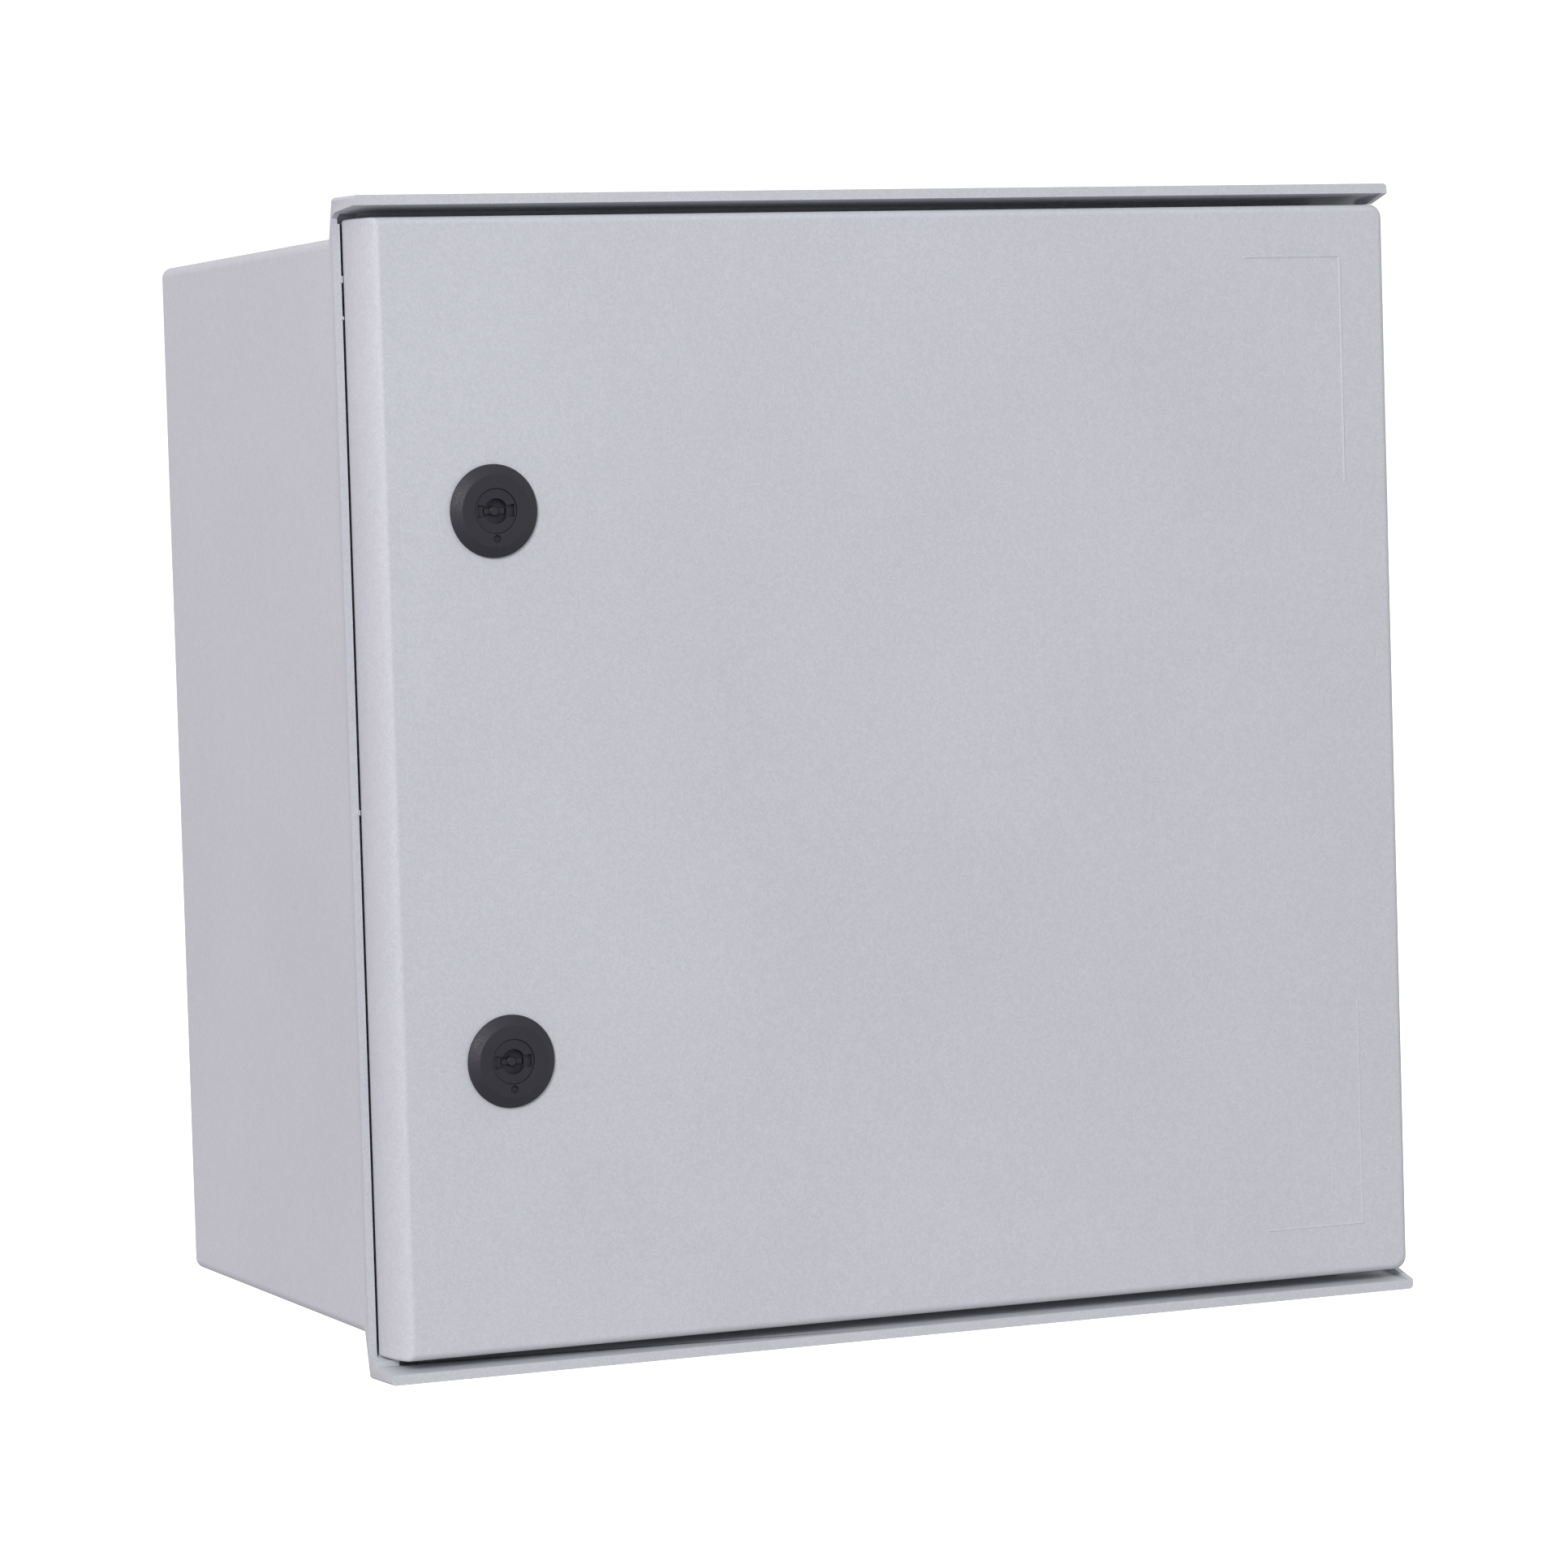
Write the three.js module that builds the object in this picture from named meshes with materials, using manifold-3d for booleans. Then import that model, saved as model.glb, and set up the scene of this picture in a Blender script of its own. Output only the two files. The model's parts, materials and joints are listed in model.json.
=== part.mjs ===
// A wall-mounting polyester switchboard cabinet with its door, locks and switchgear.
// Millimetres. X runs to the right, Y from the front to the wall, and Z up.
// The origin is the centre of the back face, and a "depth" is a distance forward of it, along -Y.

import * as THREE from 'three';
import { mergeVertices } from 'three/addons/utils/BufferGeometryUtils.js';
import Module from 'manifold-3d';

const wasm = await Module();
wasm.setup();

// Driving dimensions

const FIT_GAP = 0.3;
const OVERSHOOT = 1;
const BEYOND = 20;

// The number of sides that stands for a circle, from small holes up to the face of a lock.
const SIDES = { terminal: 8, screw: 12, pin: 16, rod: 20, ring: 24, face: 32 };

const BODY = {
  backHalfWidth: 256,
  backHalfHeight: 246,
  shoulderHalfWidth: 261,
  shoulderHalfHeight: 251,
  shoulderDepth: 242,
  flangeHalfWidth: 267,
  flangeHalfHeight: 268.3,
  flangeDepth: 263,
  leftRimDepth: 262.5,
  rightRimDepth: 260,
  lipDepth: 290,
  wall: 4,
  backEdgeRound: 2,
  cornerRadius: 5,
  flangeCornerRadius: 2
};

const CHANNEL = {
  deckBack: 246,
  deckFront: 250,
  openingHalf: 234,
  openingRadius: 12,
  ribThickness: 4,
  ribFront: 275,
  halfHeight: 252,
  halfWidth: 259.8,
  rimInnerLeft: 263.1,
  rimInnerRight: 264.2,
  cheekDepth: 276,
  doorRoomHalf: 259,
  lipKneeDepth: 267,
  lipKneeHalf: 261.5,
  lipFrontHalf: 263,
  cornerRadius: 3
};

const DOOR = {
  left: -262,
  right: 264.7,
  halfHeight: 258.3,
  front: 290,
  skirtBack: 262,
  hingeSkirtBack: 272,
  hingeSkirtFrom: 240,
  thickness: 4,
  lockCornerRadius: 1.5,
  hingeCornerRadius: 6,
  lockEdgeRadius: 7.5,
  edgeRadius: 3.5,
  edgeSteps: 5
};

const WITNESS_MARK = {
  width: 0.9,
  height: 0.25,
  across: 240.2,
  upDown: 234.3,
  armAcross: 53,
  armUpDown: 109
};

const GASKET = {
  innerHalf: 230,
  outerHalf: 242,
  radius: 8
};

const HINGE = {
  x: 254,
  depth: 278,
  z: 180,
  knuckleRadius: 4.5,
  boreRadius: 2.3,
  pinRadius: 2,
  halfKnuckle: 15,
  halfLeaf: 36,
  knuckleGap: 0.5,
  notchHalf: 18,
  notchDepth: 279.5,
  bracketLeft: 243,
  bracketRight: 258,
  armThickness: 3.5,
  plateThickness: 2.5,
  baseReach: 30,
  leafArmHalf: 3,
  leafReach: 6.5,
  screwReach: 22.5,
  screwX: 251
};

const LOCK = {
  x: -204,
  z: 125,
  capRadius: 21.25,
  capFaceRadius: 16.8,
  capFront: 294,
  capEdge: 291.4,
  neckRadius: 11,
  neckBack: 262,
  rotorHeadRadius: 10,
  rotorHeadBack: 288,
  rotorFront: 293,
  rotorRadius: 7.7,
  rotorBack: 258,
  squareHalf: 4,
  squareBack: 241.2,
  camFront: 244.5,
  camBack: 241.5,
  camHalfWidth: 8,
  camRootRadius: 10,
  camReach: 44,
  keyRadius: 6.5,
  keyBack: 284,
  keySlotHalfWidth: 9,
  keySlotHalfHeight: 3.2,
  keySlotBack: 289.5,
  keyPostRadius: 2.4,
  keyBitHalfWidth: 5,
  keyBitHalfHeight: 1.2,
  indexDrop: 11.4,
  indexRadius: 1.5,
  indexSunk: 0.8,
  nutRadius: 17.3,
  nutThickness: 6,
  nutSides: 6,
  sealRadius: 16,
  sealThickness: 1.4,
  screwBack: 237.9,
  threadLength: 10,
  screwLength: 8
};

const PLATE_SCREW = { shank: 3, clearance: 3.3, head: 6, headHeight: 3.6, tip: 8 };
const RAIL_SCREW = { shank: 2.5, clearance: 2.8, head: 4.5, headHeight: 2.8, tip: 15 };
const HINGE_SCREW = { shank: 2, clearance: 2.3, head: 4, headHeight: 2.6, tip: 244 };
const CAM_SCREW = { shank: 2, clearance: 2.3, head: 5.5, headHeight: 3 };
const HEAD_SHOULDER_SHARE = 0.6;
const HEAD_CROWN_SHARE = 0.75;

const BOSS = {
  x: 200,
  z: 195,
  radius: 9,
  top: 17.7,
  boreBack: 7
};

const WALL_HOLE = {
  x: 236,
  z: 226,
  radius: 4.3
};

const WALL_PLUG = {
  tip: 0.5,
  flangeRadius: 8,
  flangeThickness: 2
};

const PLATE = {
  halfWidth: 220,
  halfHeight: 215,
  back: 18,
  front: 20.5,
  radius: 6
};

const RAIL = {
  halfLength: 200,
  upperZ: 110,
  lowerZ: -30,
  height: 7.5,
  sheet: 1,
  halfBase: 13.5,
  halfLip: 17.5,
  screwX: 187
};

const DEVICE = {
  back: 24,
  shoulder: 68,
  nose: 88,
  halfHeight: 42.5,
  halfNose: 22.5,
  slotHalfHeight: 11,
  slotBack: 70.5,
  pivotDepth: 80,
  toggleRadius: 8.6,
  leverReach: 17,
  leverThickness: 4,
  offAngle: 25,
  modulePitch: 17.8,
  terminalRadius: 2.6,
  terminalDepth: 4,
  terminalZ: 32
};

const TEST_BUTTON = {
  offsetX: 22,
  halfSide: 3.5,
  back: 84.4,
  front: 90.4,
  wellBack: 82
};

const BAR = {
  z: -140,
  x: 85,
  halfLength: 62,
  halfHeight: 5,
  thickness: 10,
  carrierHalfLength: 72,
  carrierHalfHeight: 10,
  carrierThickness: 13,
  holes: 9,
  holePitch: 13,
  holeRadius: 2,
  holeDepth: 6
};

// Materials

function moulding(color, roughness) {
  return new THREE.MeshStandardMaterial({ color, roughness, metalness: 0 });
}

function metal(color, roughness) {
  return new THREE.MeshStandardMaterial({ color, roughness, metalness: 1 });
}

const polyester = moulding(0xc3c7cc, 0.55);
const blackPolyamide = moulding(0x2b2c31, 0.45);
const foam = moulding(0x3a3a3c, 0.95);
const rubber = moulding(0x1d1d1f, 0.85);
const greyPolyamide = moulding(0xd9dadb, 0.5);
const blueHandle = moulding(0x27508c, 0.4);
const redHandle = moulding(0xa8282a, 0.4);
const yellowButton = moulding(0xd8b23a, 0.4);
const zincSteel = metal(0xb9bcbf, 0.4);
const pressedZinc = metal(0x9ea1a6, 0.5);
const brass = metal(0xb99a52, 0.35);

// Solids and booleans

function solid(geometry) {
  geometry.deleteAttribute('normal');
  geometry.deleteAttribute('uv');
  const merged = mergeVertices(geometry, 1e-4);
  return new wasm.Manifold(new wasm.Mesh({
    numProp: 3,
    vertProperties: new Float32Array(merged.attributes.position.array),
    triVerts: new Uint32Array(merged.index.array)
  }));
}

function join(first, ...others) {
  return others.reduce((sum, next) => sum.add(next), first);
}

function cut(first, ...others) {
  return others.reduce((rest, next) => rest.subtract(next), first);
}

function toGeometry(shape) {
  const mesh = shape.getMesh();
  const geometry = new THREE.BufferGeometry();
  geometry.setAttribute('position', new THREE.BufferAttribute(mesh.vertProperties, 3));
  geometry.setIndex(new THREE.BufferAttribute(mesh.triVerts, 1));
  geometry.computeVertexNormals();
  return geometry;
}

function box(left, right, back, front, bottom, top) {
  const geometry = new THREE.BoxGeometry(right - left, front - back, top - bottom);
  geometry.translate((left + right) / 2, -(back + front) / 2, (bottom + top) / 2);
  return solid(geometry);
}

function rodAlongY(radius, back, front, x, z, sides = SIDES.rod) {
  const geometry = new THREE.CylinderGeometry(radius, radius, front - back, sides);
  geometry.translate(x, -(back + front) / 2, z);
  return solid(geometry);
}

function rodAlongZ(radius, bottom, top, x, depth, sides = SIDES.rod) {
  const geometry = new THREE.CylinderGeometry(radius, radius, top - bottom, sides);
  geometry.rotateX(Math.PI / 2);
  geometry.translate(x, -depth, (bottom + top) / 2);
  return solid(geometry);
}

// A turned piece along Y, from a closed outline of [radius, depth] points.
function turned(outline, x, z, sides = SIDES.face) {
  const points = outline.map(([radius, depth]) => new THREE.Vector2(radius, -depth));
  points.push(points[0].clone());
  const geometry = new THREE.LatheGeometry(points, sides);
  geometry.translate(x, 0, z);
  return solid(geometry);
}

// A prism along X, from an outline of [depth, z] points.
function prismAlongX(outline, left, right) {
  const shape = new THREE.Shape(outline.map(([depth, z]) => new THREE.Vector2(-depth, z)));
  const geometry = new THREE.ExtrudeGeometry(shape, { depth: right - left, bevelEnabled: false });
  const turn = new THREE.Matrix4().makeBasis(
    new THREE.Vector3(0, 1, 0),
    new THREE.Vector3(0, 0, 1),
    new THREE.Vector3(1, 0, 0)
  );
  geometry.applyMatrix4(turn);
  geometry.translate(left, 0, 0);
  return solid(geometry);
}

// Adds the mirror image across Z = 0 to half an outline of [depth, z] points.
function mirrored(half) {
  const other = half.map(([depth, z]) => [depth, -z]).reverse();
  return [...half, ...other];
}

function unitRoundedSquare() {
  const shape = new THREE.Shape();
  for (let corner = 0; corner < 4; corner += 1) {
    const start = (corner * Math.PI) / 2;
    const x = corner === 0 || corner === 3 ? 1 : -1;
    const y = corner < 2 ? 1 : -1;
    shape.absarc(x, y, 1, start, start + Math.PI / 2, false);
  }
  return shape;
}

// A block through rounded rectangles at rising depths. Each is { depth, left, right, bottom, top, radius },
// and may have a leftRadius for the two corners on its left.
function block(stations, cornerSteps = 2) {
  const geometry = new THREE.ExtrudeGeometry(unitRoundedSquare(), {
    depth: stations.length - 1,
    steps: stations.length - 1,
    curveSegments: cornerSteps,
    bevelEnabled: false
  });
  const position = geometry.attributes.position;
  for (let i = 0; i < position.count; i += 1) {
    const x = position.getX(i);
    const z = position.getY(i);
    const station = stations[Math.round(position.getZ(i))];
    const { depth, left, right, bottom, top, leftRadius = station.radius } = station;
    const radius = x < 0 ? leftRadius : station.radius;
    const cornerX = x < 0 ? left + radius + (x + 1) * radius : right - radius + (x - 1) * radius;
    const cornerZ = z < 0 ? bottom + radius + (z + 1) * radius : top - radius + (z - 1) * radius;
    position.setXYZ(i, cornerX, -depth, cornerZ);
  }
  return solid(geometry);
}

function centred(depth, halfWidth, halfHeight, radius) {
  return { depth, left: -halfWidth, right: halfWidth, bottom: -halfHeight, top: halfHeight, radius };
}

function straightBlock(back, front, halfWidth, halfHeight, radius) {
  return block([centred(back, halfWidth, halfHeight, radius), centred(front, halfWidth, halfHeight, radius)]);
}

// The scene graph

const cabinet = new THREE.Group();

function place(name, shape, material) {
  const mesh = new THREE.Mesh(toGeometry(shape), material);
  mesh.name = name;
  cabinet.add(mesh);
}

const CORNERS = [[-1, 1], [1, 1], [-1, -1], [1, -1]];
const ENDS = [['upper', 1], ['lower', -1]];

// Body

function draftedHalf(depth, back, shoulder) {
  return back + ((shoulder - back) * depth) / BODY.shoulderDepth;
}

function bodyStation(depth, inset) {
  return centred(
    depth,
    draftedHalf(depth, BODY.backHalfWidth, BODY.shoulderHalfWidth) - inset,
    draftedHalf(depth, BODY.backHalfHeight, BODY.shoulderHalfHeight) - inset,
    BODY.cornerRadius - Math.min(inset, BODY.wall - 1)
  );
}

function bodyOutside() {
  const { flangeHalfWidth, flangeHalfHeight, flangeCornerRadius } = BODY;
  return block([
    bodyStation(0, BODY.backEdgeRound),
    bodyStation(BODY.backEdgeRound * 0.3, BODY.backEdgeRound * 0.3),
    bodyStation(BODY.backEdgeRound, 0),
    bodyStation(BODY.shoulderDepth, 0),
    centred(BODY.flangeDepth, flangeHalfWidth, flangeHalfHeight, flangeCornerRadius),
    centred(BODY.lipDepth, flangeHalfWidth, flangeHalfHeight, flangeCornerRadius)
  ]);
}

function lipInnerHalf(depth) {
  const { deckFront, halfHeight, lipKneeDepth, lipKneeHalf } = CHANNEL;
  return halfHeight + ((lipKneeHalf - halfHeight) * (depth - deckFront)) / (lipKneeDepth - deckFront);
}

// The depth at which the sloping inner face of a lip is a given distance from the middle.
function lipDepthAt(half) {
  const { deckFront, halfHeight, lipKneeDepth, lipKneeHalf } = CHANNEL;
  return deckFront + ((lipKneeDepth - deckFront) * (half - halfHeight)) / (lipKneeHalf - halfHeight);
}

function pocketStation(depth, half) {
  const { rimInnerLeft, rimInnerRight, cornerRadius } = CHANNEL;
  return { depth, left: -rimInnerLeft, right: rimInnerRight, bottom: -half, top: half, radius: cornerRadius };
}

// The space in front of the deck: the channel around the rib, and the room for the door between the lips.
function doorPocket() {
  const { deckFront, halfWidth, halfHeight, cornerRadius, cheekDepth, doorRoomHalf } = CHANNEL;
  const { lipKneeDepth, lipKneeHalf, lipFrontHalf } = CHANNEL;
  const { leftRimDepth, rightRimDepth, flangeHalfWidth, lipDepth } = BODY;
  const frontSlope = (lipFrontHalf - lipKneeHalf) / (lipDepth - lipKneeDepth);
  const cheekHalf = lipKneeHalf + frontSlope * (cheekDepth - lipKneeDepth);
  const channel = block([
    centred(deckFront, halfWidth, halfHeight, cornerRadius),
    pocketStation(leftRimDepth, lipInnerHalf(leftRimDepth)),
    pocketStation(lipKneeDepth, lipKneeHalf),
    pocketStation(cheekDepth, cheekHalf)
  ]);
  const front = [lipDepth + OVERSHOOT, lipFrontHalf];
  const openLeft = prismAlongX(mirrored([
    [leftRimDepth, lipInnerHalf(leftRimDepth)],
    [lipKneeDepth, lipKneeHalf],
    front
  ]), -flangeHalfWidth - BEYOND, 0);
  const openRight = prismAlongX(mirrored([
    [cheekDepth - FIT_GAP, cheekHalf],
    front
  ]), -OVERSHOOT, flangeHalfWidth + BEYOND);
  const doorRoom = prismAlongX(mirrored([
    [rightRimDepth, lipInnerHalf(rightRimDepth)],
    [lipDepthAt(doorRoomHalf), doorRoomHalf],
    [cheekDepth, doorRoomHalf]
  ]), 0, flangeHalfWidth + BEYOND);
  const rib = straightBlock(
    CHANNEL.deckBack,
    CHANNEL.ribFront,
    CHANNEL.openingHalf + CHANNEL.ribThickness,
    CHANNEL.openingHalf + CHANNEL.ribThickness,
    CHANNEL.openingRadius + CHANNEL.ribThickness
  );
  return cut(join(channel, openLeft, openRight, doorRoom), rib);
}

function enclosureBody() {
  const inside = block([
    bodyStation(BODY.wall, BODY.wall),
    centred(
      CHANNEL.deckBack,
      BODY.shoulderHalfWidth - BODY.wall,
      BODY.shoulderHalfHeight - BODY.wall,
      BODY.cornerRadius - BODY.wall + 1
    )
  ]);
  const opening = straightBlock(
    CHANNEL.deckBack - OVERSHOOT,
    BODY.lipDepth + OVERSHOOT,
    CHANNEL.openingHalf,
    CHANNEL.openingHalf,
    CHANNEL.openingRadius
  );
  let body = cut(bodyOutside(), inside, opening, doorPocket());
  for (const [sideX, sideZ] of CORNERS) {
    const x = sideX * BOSS.x;
    const z = sideZ * BOSS.z;
    const boss = rodAlongY(BOSS.radius, BODY.wall - OVERSHOOT, BOSS.top, x, z);
    const bore = rodAlongY(PLATE_SCREW.clearance, BOSS.boreBack, BOSS.top + OVERSHOOT, x, z, SIDES.screw);
    const wallHole = rodAlongY(
      WALL_HOLE.radius,
      -OVERSHOOT,
      BODY.wall + OVERSHOOT,
      sideX * WALL_HOLE.x,
      sideZ * WALL_HOLE.z,
      SIDES.screw
    );
    body = cut(join(body, boss), bore, wallHole);
  }
  for (const [, side] of ENDS) {
    const z = side * HINGE.z + HINGE.screwReach;
    const hole = rodAlongY(
      HINGE_SCREW.clearance,
      CHANNEL.deckBack - OVERSHOOT,
      CHANNEL.deckFront + OVERSHOOT,
      HINGE.screwX,
      z,
      SIDES.screw
    );
    body = cut(body, hole);
  }
  return body;
}

// Screws and plugs

// A pan-head screw. Its head rests on the surface at "seat" and stands towards "direction", 1 for the front.
function screw(kind, tip, seat, x, z, direction = 1) {
  const top = seat + direction * kind.headHeight;
  const shoulder = seat + direction * kind.headHeight * HEAD_SHOULDER_SHARE;
  const outline = [[0, tip], [kind.shank, tip], [kind.shank, seat], [kind.head, seat]];
  outline.push([kind.head, shoulder], [kind.head * HEAD_CROWN_SHARE, top], [0, top]);
  return turned(direction > 0 ? outline.reverse() : outline, x, z, SIDES.screw);
}

function wallPlug(x, z) {
  const seat = BODY.wall + FIT_GAP;
  const shank = rodAlongY(WALL_HOLE.radius - FIT_GAP, WALL_PLUG.tip, seat + OVERSHOOT, x, z, SIDES.screw);
  const flange = rodAlongY(WALL_PLUG.flangeRadius, seat, seat + WALL_PLUG.flangeThickness, x, z, SIDES.pin);
  return join(shank, flange);
}

// Mounting plate and rails

function mountingPlate() {
  let plate = straightBlock(PLATE.back, PLATE.front, PLATE.halfWidth, PLATE.halfHeight, PLATE.radius);
  for (const [sideX, sideZ] of CORNERS) {
    const through = [PLATE.back - OVERSHOOT, PLATE.front + OVERSHOOT];
    const railZ = sideZ > 0 ? RAIL.upperZ : RAIL.lowerZ;
    plate = cut(
      plate,
      rodAlongY(PLATE_SCREW.clearance, ...through, sideX * BOSS.x, sideZ * BOSS.z, SIDES.screw),
      rodAlongY(RAIL_SCREW.clearance, ...through, sideX * RAIL.screwX, railZ, SIDES.screw)
    );
  }
  return plate;
}

const RAIL_BACK = PLATE.front + FIT_GAP;

function topHatRail(z) {
  const front = RAIL_BACK + RAIL.height;
  const half = [
    [RAIL_BACK, RAIL.halfBase],
    [front - RAIL.sheet, RAIL.halfBase],
    [front - RAIL.sheet, RAIL.halfLip],
    [front, RAIL.halfLip],
    [front, RAIL.halfBase - RAIL.sheet],
    [RAIL_BACK + RAIL.sheet, RAIL.halfBase - RAIL.sheet]
  ];
  const outline = mirrored(half).map(([depth, offset]) => [depth, z + offset]);
  const holes = [-1, 1].map((side) => rodAlongY(
    RAIL_SCREW.clearance,
    RAIL_BACK - OVERSHOOT,
    RAIL_BACK + RAIL.sheet + OVERSHOOT,
    side * RAIL.screwX,
    z,
    SIDES.screw
  ));
  return cut(prismAlongX(outline, -RAIL.halfLength, RAIL.halfLength), ...holes);
}

// Switchgear

function deviceBody(x, z, modules, toggleWidth) {
  const halfWidth = (modules * DEVICE.modulePitch - FIT_GAP) / 2;
  const railFront = RAIL_BACK + RAIL.height + FIT_GAP;
  const half = [
    [railFront, RAIL.halfLip + FIT_GAP],
    [DEVICE.back, RAIL.halfLip + FIT_GAP],
    [DEVICE.back, DEVICE.halfHeight],
    [DEVICE.shoulder, DEVICE.halfHeight],
    [DEVICE.shoulder, DEVICE.halfNose],
    [DEVICE.nose, DEVICE.halfNose]
  ];
  const outline = mirrored(half).map(([depth, offset]) => [depth, z + offset]);
  const slotHalf = toggleWidth / 2 + FIT_GAP;
  let body = cut(
    prismAlongX(outline, x - halfWidth, x + halfWidth),
    box(
      x - slotHalf,
      x + slotHalf,
      DEVICE.slotBack,
      DEVICE.nose + OVERSHOOT,
      z - DEVICE.slotHalfHeight,
      z + DEVICE.slotHalfHeight
    )
  );
  for (let pole = 0; pole < modules; pole += 1) {
    const poleX = x + (pole - (modules - 1) / 2) * DEVICE.modulePitch;
    for (const side of [-1, 1]) {
      body = cut(body, rodAlongY(
        DEVICE.terminalRadius,
        DEVICE.shoulder - DEVICE.terminalDepth,
        DEVICE.shoulder + OVERSHOOT,
        poleX,
        z + side * DEVICE.terminalZ,
        SIDES.terminal
      ));
    }
  }
  return body;
}

// A toggle lies at its off angle, tipped down, and turns up about its barrel.
function toggle(x, z, width) {
  const barrel = new THREE.CylinderGeometry(DEVICE.toggleRadius, DEVICE.toggleRadius, width, SIDES.ring);
  barrel.rotateZ(Math.PI / 2);
  const lever = new THREE.BoxGeometry(width, DEVICE.leverReach, DEVICE.leverThickness);
  lever.translate(0, -DEVICE.leverReach / 2, 0);
  const off = THREE.MathUtils.degToRad(DEVICE.offAngle);
  for (const geometry of [barrel, lever]) {
    geometry.rotateX(off);
    geometry.translate(x, -DEVICE.pivotDepth, z);
  }
  return join(solid(barrel), solid(lever));
}

function testButton(x, z) {
  const { halfSide, back, front } = TEST_BUTTON;
  return box(x - halfSide, x + halfSide, back, front, z - halfSide, z + halfSide);
}

function withButtonWell(device, x, z) {
  const half = TEST_BUTTON.halfSide + FIT_GAP;
  const front = DEVICE.nose + OVERSHOOT;
  return cut(device, box(x - half, x + half, TEST_BUTTON.wellBack, front, z - half, z + half));
}

function terminalBar(x) {
  const back = PLATE.front + 2 * FIT_GAP + BAR.carrierThickness;
  const front = back + BAR.thickness;
  const { halfLength, halfHeight, z } = BAR;
  let bar = box(x - halfLength, x + halfLength, back, front, z - halfHeight, z + halfHeight);
  for (let i = 0; i < BAR.holes; i += 1) {
    const holeX = x + (i - (BAR.holes - 1) / 2) * BAR.holePitch;
    const past = front + OVERSHOOT;
    bar = cut(bar, rodAlongY(BAR.holeRadius, front - BAR.holeDepth, past, holeX, z, SIDES.terminal));
  }
  return bar;
}

function barCarrier(x) {
  const back = PLATE.front + FIT_GAP;
  const { carrierHalfLength, carrierHalfHeight, carrierThickness, z } = BAR;
  return box(
    x - carrierHalfLength,
    x + carrierHalfLength,
    back,
    back + carrierThickness,
    z - carrierHalfHeight,
    z + carrierHalfHeight
  );
}

// Door

// How far a rounded front edge has drawn in, at a depth, for a radius.
function edgeInset(depth, radius) {
  const past = Math.max(0, depth - (DOOR.front - radius));
  return radius - Math.sqrt(Math.max(0, radius * radius - past * past));
}

function doorStation(depth) {
  const inset = edgeInset(depth, DOOR.edgeRadius);
  return {
    depth,
    left: DOOR.left + edgeInset(depth, DOOR.lockEdgeRadius),
    right: DOOR.right - inset,
    bottom: -DOOR.halfHeight + inset,
    top: DOOR.halfHeight - inset,
    radius: DOOR.hingeCornerRadius,
    leftRadius: DOOR.lockCornerRadius
  };
}

function doorOutside() {
  const depths = [DOOR.skirtBack];
  for (let i = 0; i <= DOOR.edgeSteps; i += 1) {
    const angle = (i * Math.PI) / (2 * DOOR.edgeSteps);
    depths.push(DOOR.front - DOOR.lockEdgeRadius * (1 - Math.sin(angle)));
  }
  return block(depths.map(doorStation));
}

function doorInside() {
  const wall = DOOR.thickness;
  const inner = (depth, extra) => ({
    depth,
    left: DOOR.left + wall + extra,
    right: DOOR.right - wall,
    bottom: -DOOR.halfHeight + wall,
    top: DOOR.halfHeight - wall,
    radius: DOOR.hingeCornerRadius - wall,
    leftRadius: DOOR.lockCornerRadius
  });
  const curveStart = DOOR.front - DOOR.lockEdgeRadius;
  return block([
    inner(DOOR.skirtBack - OVERSHOOT, 0),
    inner(curveStart, 0),
    inner(DOOR.front - wall, DOOR.lockEdgeRadius - wall)
  ]);
}

// A shallow L-shaped ridge in a hinge-side corner of the door's front.
function witnessMark(side) {
  const { width, height, across, upDown, armAcross, armUpDown } = WITNESS_MARK;
  const back = DOOR.front - OVERSHOOT;
  const front = DOOR.front + height;
  const near = Math.min(side * upDown, side * (upDown - armUpDown));
  const far = Math.max(side * upDown, side * (upDown - armUpDown));
  const upright = box(across - width, across, back, front, near, far);
  const edge = side * upDown;
  const level = box(
    across - armAcross,
    across,
    back,
    front,
    Math.min(edge, edge - side * width),
    Math.max(edge, edge - side * width)
  );
  return join(upright, level);
}

function doorPanel() {
  const beyondRight = DOOR.right + BEYOND;
  const beyondTop = DOOR.halfHeight + BEYOND;
  let door = cut(
    doorOutside(),
    doorInside(),
    box(
      DOOR.hingeSkirtFrom,
      beyondRight,
      DOOR.skirtBack - OVERSHOOT,
      DOOR.hingeSkirtBack,
      -beyondTop,
      beyondTop
    )
  );
  for (const [, side] of ENDS) {
    const lockHole = rodAlongY(
      LOCK.neckRadius + FIT_GAP,
      DOOR.skirtBack,
      DOOR.front + OVERSHOOT,
      LOCK.x,
      side * LOCK.z,
      SIDES.face
    );
    const hingeNotch = box(
      DOOR.right - DOOR.thickness - OVERSHOOT,
      beyondRight,
      DOOR.skirtBack,
      HINGE.notchDepth,
      side * HINGE.z - HINGE.notchHalf,
      side * HINGE.z + HINGE.notchHalf
    );
    door = join(cut(door, lockHole, hingeNotch), witnessMark(side));
  }
  return door;
}

function doorGasket() {
  const back = CHANNEL.ribFront + FIT_GAP;
  const front = DOOR.front - DOOR.thickness - FIT_GAP;
  const { innerHalf, outerHalf, radius } = GASKET;
  return cut(
    straightBlock(back, front, outerHalf, outerHalf, radius + outerHalf - innerHalf),
    straightBlock(back - OVERSHOOT, front + OVERSHOOT, innerHalf, innerHalf, radius)
  );
}

// Hinges

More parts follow.
